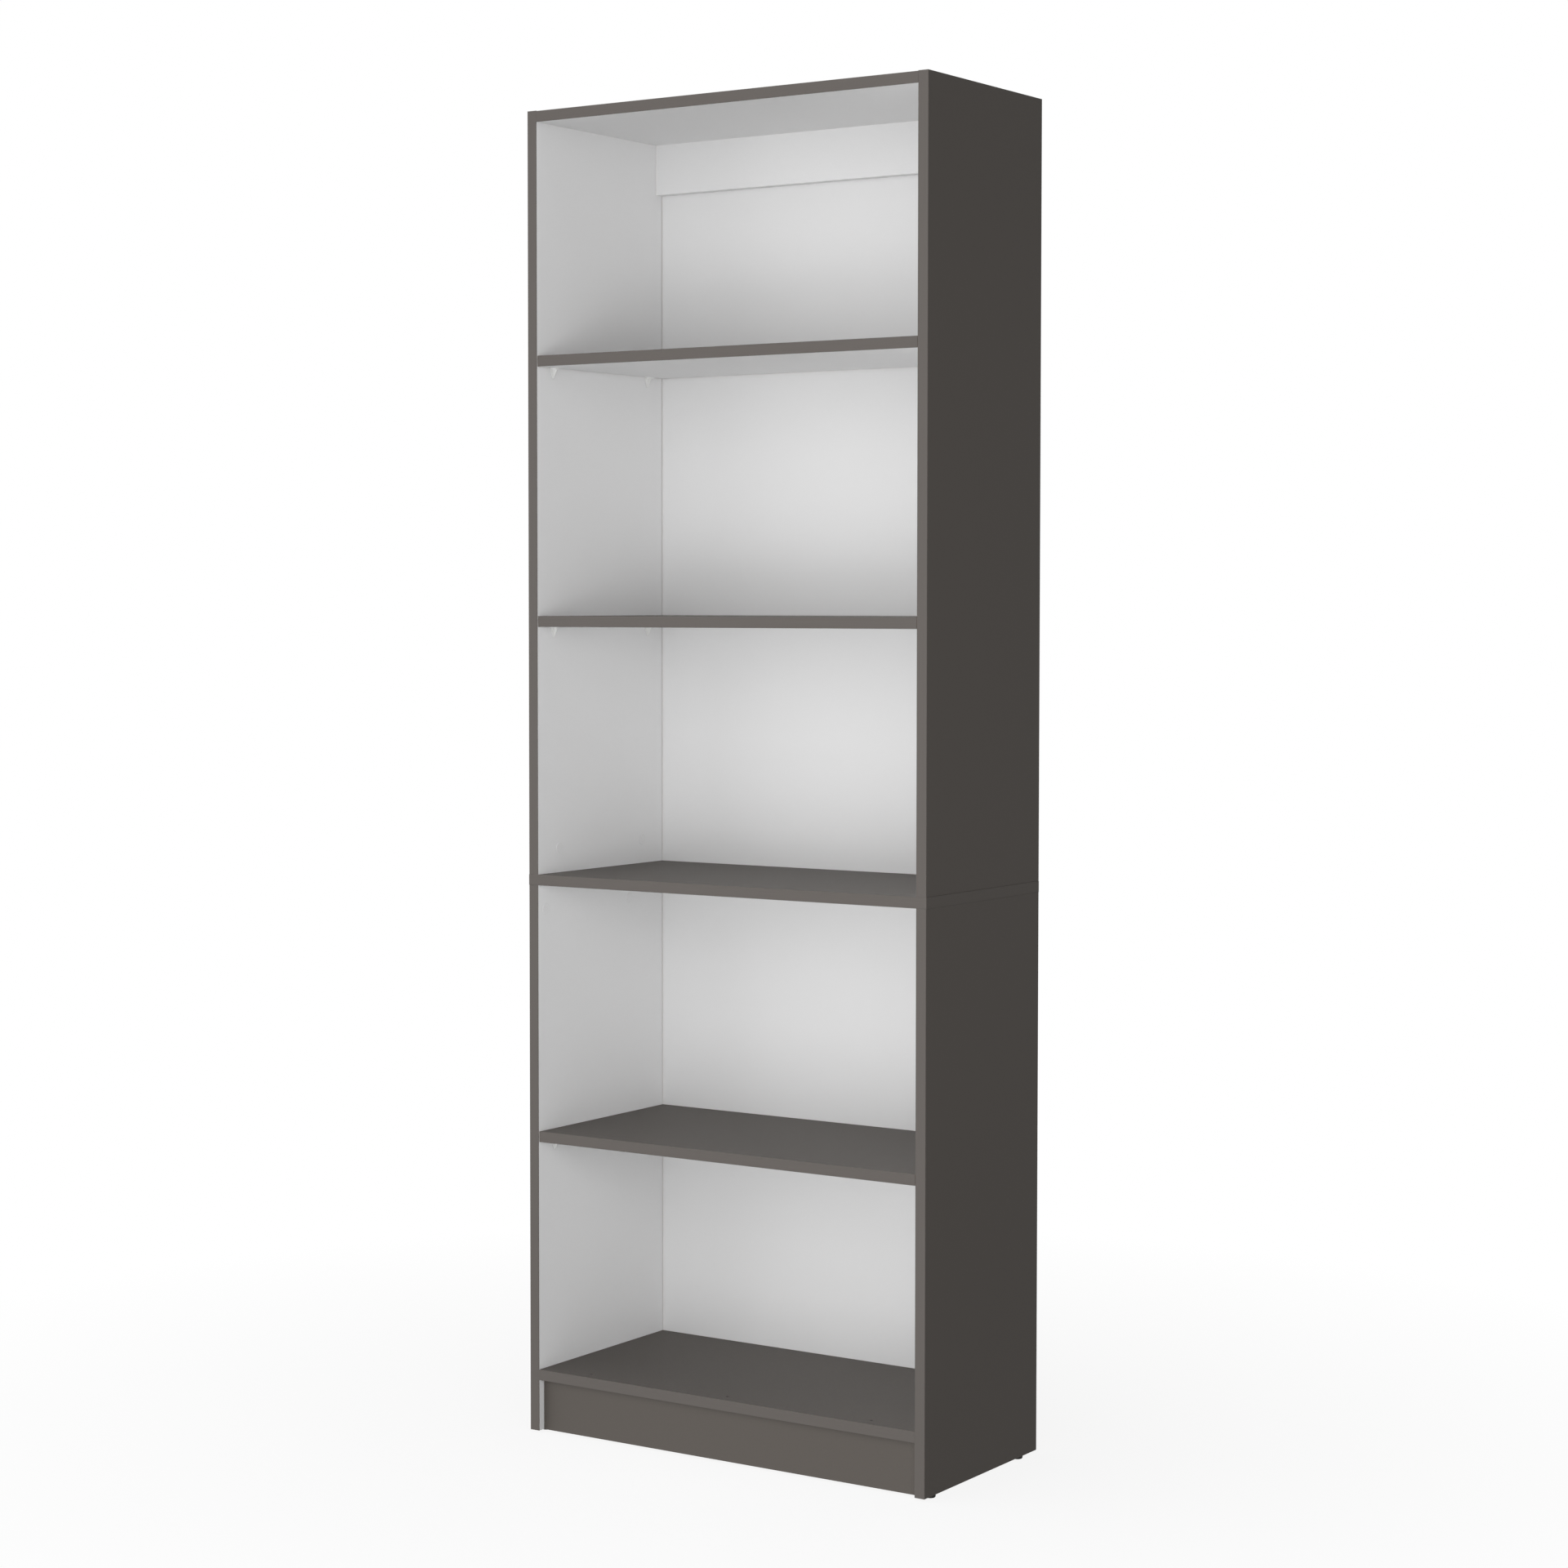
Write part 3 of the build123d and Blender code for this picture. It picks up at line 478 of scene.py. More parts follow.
def board(node, faces, holes=(), sinks=(), body="carcass", slot="dark_melamine", arris=flat_arris(0.6)):
    """One melamine-faced board: its papered faces, its raw cut edges, its arrises and
    its drilled holes."""
    lo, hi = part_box(node)
    index = {"dark": 0, "white": 1, "raw": 2}
    table = {k: index[v] for k, v in faces.items()}
    bm = bmesh.new()
    block(bm, lo, hi, lambda mid, way: arris(mid, way, lo, hi) * MM, by_normal(table, ARRIS_FINISH_AND_SHADE_RANK))
    ob = link(node + "_board", bm, [dark_mel, white_mel, raw_chip])
    cutters = []
    for i, group in enumerate(holes):
        if group:
            cutters.append(drill_mesh(f"{node}_drill_{i}", group))
    if sinks:
        cutters.append(sink_mesh(node + "_sink", sinks))
    if cutters:
        cut(ob, cutters)
    shade(ob)
    return put(ob, body, slot, node)


for side, s in (("left", -1), ("right", 1)):
    inward = (s, 0, 0)                       # drilling from the inner face outwards
    out_face, in_face = ("-x", "+x") if s < 0 else ("+x", "-x")
    faces = {out_face: "dark", in_face: "white", "-y": "raw", "+y": "raw", "+z": "raw", "-z": "raw"}
    xi = s * X_IN
    xm = s * X_MID
    lower = shelf_box["lower"][0].z - PEG_DROP
    board(
        f"{side}_side_lower", faces,
        holes=(
            [((xi, y, mid_lo.z - CAM_EDGE), inward, 7.5 * MM, 12.5 * MM) for y in CAM_Y_LOWER]
            + [((xm, y, mid_lo.z), (0, 0, -1), 4 * MM, 21 * MM) for y in DOWEL_Y_LOWER]
            + [((xi, y, BOT_MID), inward, 2.5 * MM, 11 * MM) for y in CAM_Y_ENDS]
            + [((xi, y, BOT_MID), inward, 4 * MM, 9 * MM) for y in DOWEL_Y_ENDS]
            + [((xi, KICK_Y, Z_KICK), inward, 4 * MM, 9 * MM)]
            + [((xi, y, lower), inward, 2.55 * MM, 9 * MM) for y in PEG_Y.values()]
            + [((xm, y, side_lo_l.z), (0, 0, 1), 1.25 * MM, 16 * MM) for y in GLIDE_Y],
            [((xm, y, mid_lo.z), (0, 0, -1), 4 * MM, 34 * MM) for y in CAM_Y_LOWER],
        ),
        arris=side_arris(s, False),
    )
    board(
        f"{side}_side_upper", faces,
        holes=(
            [((xi, y, mid_hi.z + CAM_EDGE), inward, 7.5 * MM, 12.5 * MM) for y in CAM_Y_UPPER]
            + [((xm, y, mid_hi.z), (0, 0, 1), 4 * MM, 21 * MM) for y in DOWEL_Y_UPPER]
            + [((xi, y, TOP_MID), inward, 2.5 * MM, 11 * MM) for y in CAM_Y_ENDS]
            + [((xi, y, TOP_MID), inward, 4 * MM, 9 * MM) for y in DOWEL_Y_ENDS]
            + [((xi, RAIL_Y, RAIL_CAM_Z), inward, 2.5 * MM, 11 * MM)]
            + [((xi, RAIL_Y, RAIL_DOWEL_Z), inward, 4 * MM, 9 * MM)]
            + [((xi, y, shelf_box[n][0].z - PEG_DROP), inward, 2.55 * MM, 9 * MM)
               for y in PEG_Y.values() for n in ("second", "upper")],
            [((xm, y, mid_hi.z), (0, 0, 1), 4 * MM, 34 * MM) for y in CAM_Y_UPPER],
        ),
        arris=side_arris(s, True),
    )

RAW_ENDS = {"-x": "raw", "+x": "raw", "-y": "raw", "+y": "raw"}
FLAT = {**RAW_ENDS, "+z": "dark", "-z": "white"}

board(
    "middle_panel", FLAT,
    holes=(
        [((x, y, mid_lo.z), (0, 0, 1), 2.5 * MM, 11 * MM) for x in (-X_MID, X_MID) for y in CAM_Y_LOWER]
        + [((x, y, mid_hi.z), (0, 0, -1), 2.5 * MM, 11 * MM) for x in (-X_MID, X_MID) for y in CAM_Y_UPPER]
        + [((x, y, mid_lo.z), (0, 0, 1), 4 * MM, 9 * MM) for x in (-X_MID, X_MID) for y in DOWEL_Y_LOWER]
        + [((x, y, mid_hi.z), (0, 0, -1), 4 * MM, 9 * MM) for x in (-X_MID, X_MID) for y in DOWEL_Y_UPPER],
    ),
    arris=flat_arris(0.02),
)
board(
    "top_panel", FLAT,
    holes=(
        [((x, y, top_hi.z), (0, 0, -1), 7.5 * MM, 12.5 * MM) for x in (-X_CAM, X_CAM) for y in CAM_Y_ENDS]
        + [((s * X_IN, y, TOP_MID), (-s, 0, 0), 4 * MM, 21 * MM) for s in (-1, 1) for y in DOWEL_Y_ENDS],
        [((s * X_IN, y, TOP_MID), (-s, 0, 0), 4 * MM, 34 * MM) for s in (-1, 1) for y in CAM_Y_ENDS],
    ),
)
board(
    "bottom_panel", FLAT,
    holes=(
        [((x, y, bot_lo.z), (0, 0, 1), 7.5 * MM, 12.5 * MM) for x in (-X_CAM, X_CAM) for y in CAM_Y_ENDS]
        + [((s * X_IN, y, BOT_MID), (-s, 0, 0), 4 * MM, 21 * MM) for s in (-1, 1) for y in DOWEL_Y_ENDS]
        + [((x, KICK_Y, bot_hi.z), (0, 0, -1), 1.65 * MM, 16 * MM) for x in SCREW_X],
        [((s * X_IN, y, BOT_MID), (-s, 0, 0), 4 * MM, 34 * MM) for s in (-1, 1) for y in CAM_Y_ENDS],
    ),
    sinks=[((x, KICK_Y, bot_hi.z), (0, 0, -1), 2.45 * MM, 1.65 * MM) for x in SCREW_X],
)
board(
    "kick_panel", {"-x": "raw", "+x": "raw", "-z": "raw", "+z": "raw", "-y": "dark", "+y": "white"},
    holes=(
        [((x, KICK_Y, kick_hi.z), (0, 0, -1), 1.65 * MM, 34 * MM) for x in SCREW_X]
        + [((s * X_IN, KICK_Y, Z_KICK), (-s, 0, 0), 4 * MM, 21 * MM) for s in (-1, 1)],
    ),
    arris=front_arris,
)
board(
    "top_rail", {"-x": "raw", "+x": "raw", "-z": "white", "+z": "raw", "-y": "white", "+y": "white"},
    holes=(
        [((x, rail_hi.y, RAIL_CAM_Z), (0, -1, 0), 7.5 * MM, 12.5 * MM) for x in (-X_CAM, X_CAM)]
        + [((s * X_IN, RAIL_Y, RAIL_DOWEL_Z), (-s, 0, 0), 4 * MM, 21 * MM) for s in (-1, 1)],
        [((s * X_IN, RAIL_Y, RAIL_CAM_Z), (-s, 0, 0), 4 * MM, 34 * MM) for s in (-1, 1)],
    ),
    slot="white_melamine",
    arris=front_arris,
)
for n in SHELVES:
    board(f"{n}_shelf", FLAT, body=f"{n}_shelf")


# =====================================================================
# Hardboard backs: painted white inside, brown behind, softly broken edges. The nails
# leave the sheets a hair off the boards' edges, which shows as a dark line inside.
# =====================================================================
HAIR = 0.6 * MM
for n in ("back_panel_lower", "back_panel_upper"):
    lo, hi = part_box(n)
    lo.y += HAIR
    bm = bmesh.new()
    block(bm, lo, hi, lambda mid, way: 0.25 * MM,
          by_normal({"-y": 0, "+y": 1, "-x": 1, "+x": 1, "-z": 1, "+z": 1}, (1, 0)))
    ob = link(n + "_sheet", bm, [hb_white, hb_brown])
    shade(ob)
    put(ob, "carcass", "white_hardboard", n)


# =====================================================================
# Edge bands: strips with rounded outer arrises and a fine glue joint
# =====================================================================
def strips(node, boxes, outer, radius, body="carcass"):
    """outer: the outward face, such as '-y'; its edges are rounded, the joint's are not."""
    axis, s = "xyz".index(outer[1]), (1 if outer[0] == "+" else -1)
    bm = bmesh.new()
    for lo, hi in boxes:
        size = hi - lo
        far = hi[axis] if s > 0 else lo[axis]
        longest = max(range(3), key=lambda i: size[i])

        def width(mid, way):
            if abs(mid[axis] - far) > 1e-7:
                return 0.04 * MM
            return radius if abs(way[longest]) > 0.9 else min(radius, 0.10 * MM)

        block(bm, lo, hi, width, lambda n: 0)
    ob = link(node + "_strip", bm, [bands_along["xyz"[longest]]])
    shade(ob)
    return put(ob, body, "dark_edge_band", node)


def vec(*v):
    return Vector(v)


strips(
    "side_front_bands",
    [
        (vec(min(a, b), Y0, lo), vec(max(a, b), band_y, hi))
        for band_y in (side_lo_l.y,)
        for a, b in ((-X_OUT, -X_IN), (X_IN, X_OUT))
        for lo, hi in ((side_lo_l.z, side_hi_l.z), (side_lo_u.z, side_hi_u.z))
    ],
    "-y", 0.35 * MM,
)
tb_lo, tb_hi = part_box("side_top_bands")
strips(
    "side_top_bands",
    [(vec(min(a, b), tb_lo.y, tb_lo.z), vec(max(a, b), tb_hi.y, tb_hi.z))
     for a, b in ((-X_OUT, -X_IN), (X_IN, X_OUT))],
    "+z", 0.25 * MM,
)
eb_lo, eb_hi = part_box("middle_end_bands")
for_ends = [
    (vec(eb_lo.x, eb_lo.y, eb_lo.z), vec(-X_OUT, eb_hi.y, eb_hi.z), "-x"),
    (vec(X_OUT, eb_lo.y, eb_lo.z), vec(eb_hi.x, eb_hi.y, eb_hi.z), "+x"),
]
bm = bmesh.new()
for lo, hi, outer in for_ends:
    far = lo.x if outer == "-x" else hi.x
    block(bm, lo, hi, lambda mid, way: (0.2 * MM if abs(mid.x - far) < 1e-7 else 0.03 * MM), lambda n: 0)
ob = link("middle_end_bands_strip", bm, [end_band])
shade(ob)
put(ob, "carcass", "dark_edge_band", "middle_end_bands")
for n in ("middle_front_band", "top_front_band", "bottom_front_band"):
    strips(n, [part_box(n)], "-y", 0.35 * MM)
for n in SHELVES:
    strips(f"{n}_shelf_front_band", [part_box(f"{n}_shelf_front_band")], "-y", 0.35 * MM, body=f"{n}_shelf")


# =====================================================================
# Turned parts
# =====================================================================
def lathe(bm, profile, place, segs=48, shape=None, mat=0):
    """Turns (radius, height) points about local Z. shape(r, h, angle) may alter the radius."""
    rings = []
    for r, h in profile:
        if r <= 1e-9:
            rings.append([bm.verts.new(place @ Vector((0, 0, h)))])
            continue
        ring = []
        for i in range(segs):
            a = 2 * math.pi * i / segs
            q = shape(r, h, a) if shape else r
            ring.append(bm.verts.new(place @ Vector((q * math.cos(a), q * math.sin(a), h))))
        rings.append(ring)
    flip = place.to_3x3().determinant() < 0
    for a, b in zip(rings, rings[1:]):
        for i in range(segs):
            j = (i + 1) % segs
            if len(a) == 1 and len(b) == 1:
                continue
            if len(a) == 1:
                vs = [a[0], b[j], b[i]]
            elif len(b) == 1:
                vs = [a[i], a[j], b[0]]
            else:
                vs = [a[i], a[j], b[j], b[i]]
            f = bm.faces.new(vs if not flip else list(reversed(vs)))
            f.material_index = mat
    return bm


def facing(origin, out, along=None):
    """A placement whose local Z looks along out, and local X along along."""
    z = Vector(out).normalized()
    x = Vector(along).normalized() if along else z.orthogonal().normalized()
    y = z.cross(x)
    m = Matrix((x, y, z)).transposed().to_4x4()
    return Matrix.Translation(Vector(origin)) @ m


def outward(bm):
    bmesh.ops.recalc_face_normals(bm, faces=bm.faces)
    return bm


def helix(core, pitch, start, stop, lead=0.0015):
    """A thread's ridge between two heights, running out at both ends."""
    def shape(r, h, a):
        if not start < h < stop:
            return r
        phase = (h / pitch - a / (2 * math.pi)) % 1.0
        ridge = max(0.0, 1.0 - abs(phase - 0.5) / 0.30)
        fade = min(1.0, (h - start) / lead, (stop - h) / lead)
        return core + (r - core) * ridge * fade
    return shape


def steps(a, b, pitch, per=10):
    n = max(2, int(round(abs(b - a) / pitch * per)))
    return [a + (b - a) * i / n for i in range(n + 1)]


# ---- cam covers: shallow pressed-in caps with a dished rim and a gate mark
cap = [
    (0, -1.6), (0.9, -1.6), (1.2, -1.3), (1.2, 0.0), (7.92, 0.0), (8.0, 0.10),
    (7.95, 0.24), (7.78, 0.38), (7.5, 0.47), (7.0, 0.50), (6.5, 0.46), (6.1, 0.40),
    (1.5, 0.38), (1.1, 0.42), (0.7, 0.40), (0.4, 0.32), (0, 0.30),
]
cap = [(r * MM, h * MM) for r, h in cap]


def caps(node, places):
    bm = bmesh.new()
    for p in places:
        lathe(bm, cap, p, 64)
    ob = link(node + "_caps", outward(bm), [cap_mat])
    shade(ob, 40)
    return put(ob, "carcass", "white_plastic", node)


SIDE_CAMS = (
    [facing((s * X_IN, y, mid_lo.z - CAM_EDGE), (-s, 0, 0), (0, 0, 1)) for s in (-1, 1) for y in CAM_Y_LOWER]
    + [facing((s * X_IN, y, mid_hi.z + CAM_EDGE), (-s, 0, 0), (0, 0, -1)) for s in (-1, 1) for y in CAM_Y_UPPER]
)
TOP_CAMS = [facing((s * X_CAM, y, top_hi.z), (0, 0, 1), (s, 0, 0)) for s in (-1, 1) for y in CAM_Y_ENDS]
caps("side_cam_covers", SIDE_CAMS)
caps("top_cam_covers", TOP_CAMS)

# ---- cam bolts: collar, shank, neck and head, and a real thread
bolt_profile = (
    [(0, -10.0), (1.3, -10.0), (1.9, -9.4)]
    + [(2.48, h) for h in steps(-9.2, -0.3, 1.8, 9)]
    + [(2.0, -0.1), (2.48, 0.0), (3.15, 0.0), (3.3, 0.15), (3.3, 1.4), (3.15, 1.6), (2.6, 1.75),
       (2.5, 2.2), (2.5, 26.2), (2.3, 26.8), (1.7, 27.6), (1.7, 31.2), (2.5, 31.7), (2.9, 32.1),
       (2.9, 34.9), (2.7, 35.5), (1.6, 36.6), (0, 36.6)]
)
bolt_profile = [(r * MM, h * MM) for r, h in bolt_profile]
bolt_thread = helix(1.75 * MM, 1.8 * MM, -9.3 * MM, -0.2 * MM)


def bolts(node, places):
    bm = bmesh.new()
    for p in places:
        lathe(bm, bolt_profile, p, 24, bolt_thread)
    ob = link(node + "_set", outward(bm), [steel])
    shade(ob, 40)
    return put(ob, "carcass", "bright_steel", node)


bolts("middle_cam_bolts",
      [facing((s * X_MID, y, mid_lo.z), (0, 0, -1)) for s in (-1, 1) for y in CAM_Y_LOWER]
      + [facing((s * X_MID, y, mid_hi.z), (0, 0, 1)) for s in (-1, 1) for y in CAM_Y_UPPER])
bolts("top_cam_bolts", [facing((s * X_IN, y, TOP_MID), (-s, 0, 0)) for s in (-1, 1) for y in CAM_Y_ENDS])
bolts("bottom_cam_bolts", [facing((s * X_IN, y, BOT_MID), (-s, 0, 0)) for s in (-1, 1) for y in CAM_Y_ENDS])
bolts("rail_cam_bolts", [facing((s * X_IN, RAIL_Y, RAIL_CAM_Z), (-s, 0, 0)) for s in (-1, 1)])

# ---- fluted dowels
FLUTES = 20


def flutes(r, h, a):
    if r < 3.9 * MM:
        return r
    return r - 0.28 * MM * (0.5 - 0.5 * math.cos(FLUTES * a)) ** 2


dowel_profile = [
    (0, -8.5), (2.7, -8.5), (2.98, -8.45), (3.7, -7.8), (3.98, -7.4), (3.98, 3.0), (3.98, 12.0),
    (3.98, 19.4), (3.7, 19.8), (2.98, 20.45), (2.7, 20.5), (0, 20.5),
]
dowel_profile = [(r * MM, h * MM) for r, h in dowel_profile]


def dowels(node, places, mat):
    bm = bmesh.new()
    for p in places:
        lathe(bm, dowel_profile, p, FLUTES * 4, flutes)
    ob = link(node + "_set", outward(bm), [mat])
    shade(ob, 35)
    return put(ob, "carcass", "beech", node)


dowels("middle_dowels",
       [facing((s * X_MID, y, mid_lo.z), (0, 0, -1)) for s in (-1, 1) for y in DOWEL_Y_LOWER]
       + [facing((s * X_MID, y, mid_hi.z), (0, 0, 1)) for s in (-1, 1) for y in DOWEL_Y_UPPER], beech_z)
dowels("top_dowels",
       [facing((s * X_IN, y, TOP_MID), (-s, 0, 0)) for s in (-1, 1) for y in DOWEL_Y_ENDS]
       + [facing((s * X_IN, RAIL_Y, RAIL_DOWEL_Z), (-s, 0, 0)) for s in (-1, 1)], beech_x)
dowels("bottom_dowels",
       [facing((s * X_IN, y, BOT_MID), (-s, 0, 0)) for s in (-1, 1) for y in DOWEL_Y_ENDS]
       + [facing((s * X_IN, KICK_Y, Z_KICK), (-s, 0, 0)) for s in (-1, 1)], beech_x)

# ---- kick screws: trim heads just under the face, cross recess, thread below
screw_profile = (
    [(0, -0.3), (1.95, -0.3), (2.1, -0.34), (2.12, -0.40), (1.6, -0.92), (1.55, -1.2), (1.55, -14.0)]
    + [(1.6, h) for h in steps(-14.4, -43.0, 1.6, 7)]
    + [(1.35, -43.6), (0.9, -45.4), (0.35, -47.4), (0, -48.0)]
)
screw_profile = [(r * MM, h * MM) for r, h in reversed(screw_profile)]
screw_thread = helix(1.05 * MM, 1.6 * MM, -43.2 * MM, -14.2 * MM)
bm = bmesh.new()
for x in SCREW_X:
    lathe(bm, screw_profile, Matrix.Translation((x, KICK_Y, bot_hi.z)), 24, screw_thread)
ob = link("kick_screws_set", outward(bm), [dark_steel])
bm = bmesh.new()
for x in SCREW_X:
    # the driver's recess: two crossed wedges that narrow downwards
    for turn in (0, math.pi / 2):
        geo = bmesh.ops.create_cube(bm, size=1.0)
        for v in geo["verts"]:
            deep = v.co.z < 0
            v.co = Vector((v.co.x * (1.3 if deep else 2.6) * MM, v.co.y * (0.34 if deep else 0.6) * MM,
                           (-1.5 if deep else 0.5) * MM))
            v.co = Matrix.Rotation(turn + 0.6, 3, "Z") @ v.co + Vector((x, KICK_Y, bot_hi.z))
cross = link("kick_recess", bm, [dark_steel])
mod = ob.modifiers.new("recess", "BOOLEAN")
mod.operation, mod.solver, mod.use_self, mod.object = "DIFFERENCE", "EXACT", True, cross
evaluated(ob)
bpy.data.objects.remove(cross)
shade(ob, 35)
put(ob, "carcass", "dark_steel", "kick_screws")

# ---- back nails: slightly domed heads with a rolled edge, pointed shanks
nail_profile = [
    (0, -18.0), (0.25, -17.4), (0.7, -16.5), (0.7, -0.2), (0.85, 0.0), (1.82, 0.0), (1.9, 0.10),
    (1.88, 0.28), (1.76, 0.44), (1.5, 0.55), (1.1, 0.59), (0.5, 0.60), (0, 0.60),
]
nail_profile = [(r * MM, h * MM) for r, h in nail_profile]


def spread(a, b, count):
    return [a + (b - a) * i / (count - 1) for i in range(count)]


SPLIT = (mid_lo.z + mid_hi.z) / 2
BACK_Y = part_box("back_panel_lower")[1].y
ROW_X = (-0.2, -0.1, 0.0, 0.1, 0.2)
for node, low, high, count in (
    ("back_nails_lower", BOT_MID, SPLIT - 4 * MM, 7),
    ("back_nails_upper", SPLIT + 4 * MM, TOP_MID, 9),
):
    spots = [(s * X_MID, z) for s in (-1, 1) for z in spread(low, high, count)]
    spots += [(x, z) for x in ROW_X for z in (low, high)]
    bm = bmesh.new()
    for x, z in spots:
        lathe(bm, nail_profile, facing((x, BACK_Y, z), (0, 1, 0)), 28)
    ob = link(node + "_set", outward(bm), [steel])
    shade(ob, 40)
    put(ob, "carcass", "bright_steel", node)

# ---- floor glides: moulded buttons on a nail, worn flat underneath
glide_profile = [
    (0, 0.0), (5.2, 0.0), (5.9, 0.08), (6.5, 0.34), (7.0, 0.78), (7.32, 1.35), (7.47, 2.0), (7.5, 2.6),
    (7.5, 3.7), (7.38, 3.92), (7.15, 4.0), (1.2, 4.0), (1.2, 16.9), (0.5, 18.2), (0, 19.0),
]
glide_profile = [(r * MM, h * MM) for r, h in glide_profile]
bm = bmesh.new()
for s in (-1, 1):
    for y in GLIDE_Y:
        lathe(bm, glide_profile, Matrix.Translation((s * X_MID, y, 0.0)), 56)
outward(bm)
for f in bm.faces:
    c = f.calc_center_median()
    near = min((Vector((c.x - s * X_MID, c.y - y))).length for s in (-1, 1) for y in GLIDE_Y)
    if c.z > 4.05 * MM or (near < 1.1 * MM and c.z > 2 * MM):
        f.material_index = 1
ob = link("floor_glides_set", bm, [glide_mat, steel])
shade(ob, 35)
put(ob, "carcass", "black_plastic", "floor_glides")

# ---- cams: the frame's own housings, their sharp arrises broken
for n in ("side_cams_lower", "side_cams_upper", "top_cams", "bottom_cams", "rail_cams"):
    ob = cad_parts[n]
    ob.data.materials.clear()
    ob.data.materials.append(zinc)
    weld = ob.modifiers.new("weld", "WELD")
    weld.merge_threshold = 0.000002
    bev = ob.modifiers.new("arris", "BEVEL")
    bev.width = 0.18 * MM
    bev.segments = 2
    bev.limit_method = "ANGLE"
    bev.angle_limit = math.radians(40)


# =====================================================================
# Shelf pegs: one moulding, drawn for a left side
# =====================================================================
def prism(name, pts, axis, a, b):
    """A closed prism over a 2-D outline: axis 'x' takes (y, z), 'y' takes (x, z), 'z' takes (x, y)."""
    bm = bmesh.new()

    def at(p, d):
        return {"x": (d, p[0], p[1]), "y": (p[0], d, p[1]), "z": (p[0], p[1], d)}[axis]

    rings = [[bm.verts.new(Vector(at(p, d)) * MM) for p in pts] for d in (a, b)]
    bm.faces.new(rings[0])
    bm.faces.new(list(reversed(rings[1])))
    n = len(pts)
    for i in range(n):
        j = (i + 1) % n
        bm.faces.new([rings[0][i], rings[1][i], rings[1][j], rings[0][j]])
    return link(name, outward(bm), [peg_mat])


def arc(cx, cy, r, a0, a1, n):
    return [(cx + r * math.cos(math.radians(a0 + (a1 - a0) * i / n)),
             cy + r * math.sin(math.radians(a0 + (a1 - a0) * i / n))) for i in range(n + 1)]


TIP, TIP_R, TOP, HALF_W = -9.5, 2.4, 6.0, 6.0
plate = prism(
    "peg_plate",
    [(-HALF_W, TOP - 7.0), (-HALF_W, TOP), (HALF_W, TOP), (HALF_W, TOP - 7.0)]
    + arc(0, TIP + TIP_R, TIP_R, 0, -180, 14),
    "x", 0.5, 1.6,
)
tab = prism(
    "peg_tab",
    [(0.0, -HALF_W)] + arc(9.0 - 2.5, -HALF_W + 2.5, 2.5, -90, 0, 8) + arc(9.0 - 2.5, HALF_W - 2.5, 2.5, 0, 90, 8)
    + [(0.0, HALF_W)],
    "z", TOP - 1.6, TOP,
)
web = prism(
    "peg_web",
    [(0.5, TOP - 0.8), (7.8, TOP - 0.8), (7.8, TOP - 2.0), (2.2, TIP + 2.2), (0.5, TIP + 2.2)],
    "y", -0.8, 0.8,
)
bm = bmesh.new()
pin = [(0, 8.0), (1.9, 8.0), (2.3, 7.7), (2.5, 7.1), (2.5, 6.6), (2.3, 6.2), (2.3, 5.5), (2.5, 5.1), (2.5, 4.5),
       (2.3, 4.1), (2.3, 3.4), (2.5, 3.0), (2.5, 2.4), (2.3, 2.0), (2.3, 1.3), (2.5, 0.9), (2.5, 0.0), (4.2, 0.0),
       (4.2, -0.8), (0, -0.8)]
lathe(bm, [(r * MM, h * MM) for r, h in reversed(pin)], facing((0, 0, 0), (-1, 0, 0)), 32)
pin = link("peg_pin", outward(bm), [peg_mat])
for other in (tab, web, pin):
    mod = plate.modifiers.new("join", "BOOLEAN")
    mod.operation, mod.solver, mod.object = "UNION", "EXACT", other
evaluated(plate)
for other in (tab, web, pin):
    bpy.data.objects.remove(other)
weld = plate.modifiers.new("weld", "WELD")
weld.merge_threshold = 0.00001
bev = plate.modifiers.new("round", "BEVEL")
bev.width, bev.segments, bev.limit_method, bev.angle_limit = 0.22 * MM, 3, "ANGLE", math.radians(50)
bev.harden_normals = False
evaluated(plate)
shade(plate, 32)
left_mesh = plate.data
left_mesh.name = "peg_left"
bm = bmesh.new()
bm.from_mesh(left_mesh)
for v in bm.verts:
    v.co.x = -v.co.x
bmesh.ops.reverse_faces(bm, faces=bm.faces)
right_mesh = bpy.data.meshes.new("peg_right")
bm.to_mesh(right_mesh)
bm.free()
right_mesh.materials.append(peg_mat)
bpy.data.objects.remove(plate)
for n in SHELVES:
    for side, mesh, s in (("left", left_mesh, -1), ("right", right_mesh, 1)):
        for end in ("front", "rear"):
            node = f"{n}_peg_{side}_{end}"
            ob = bpy.data.objects.new(node + "_moulding", mesh)
            bpy.context.scene.collection.objects.link(ob)
            ob.location = (s * X_IN, PEG_Y[end], shelf_box[n][0].z - PEG_DROP)
            put(ob, node, "peg_plastic", node)

# any frame piece still shown keeps a finished material
for n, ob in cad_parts.items():
    if not ob.data.materials:
        ob.data.materials.append(white_mel)

# =====================================================================
# Studio
# =====================================================================
# the floor: pale and even, with just a breath of contact shadow close to the object
fm = Mat("studio_floor", roughness=0.9, specular=0.0)
fm.colour(fm.scaled((0.92, 0.92, 0.92), fm.span(fm.noise(0.6, 2.0), 0.997, 1.003)))
away = fm.nt.nodes.new("ShaderNodeVectorMath")
away.operation = "LENGTH"
fm.nt.links.new(fm.coord, away.inputs[0])
glow = fm.nt.nodes.new("ShaderNodeEmission")
glow.inputs["Color"].default_value = (1, 1, 1, 1)
blend_floor = fm.nt.nodes.new("ShaderNodeMixShader")
fm.nt.links.new(fm.span(away.outputs["Value"], 0.88, 1.0, (0.35, 1.6)), blend_floor.inputs[0])
fm.nt.links.new(fm.bsdf.outputs[0], blend_floor.inputs[1])
fm.nt.links.new(glow.outputs[0], blend_floor.inputs[2])
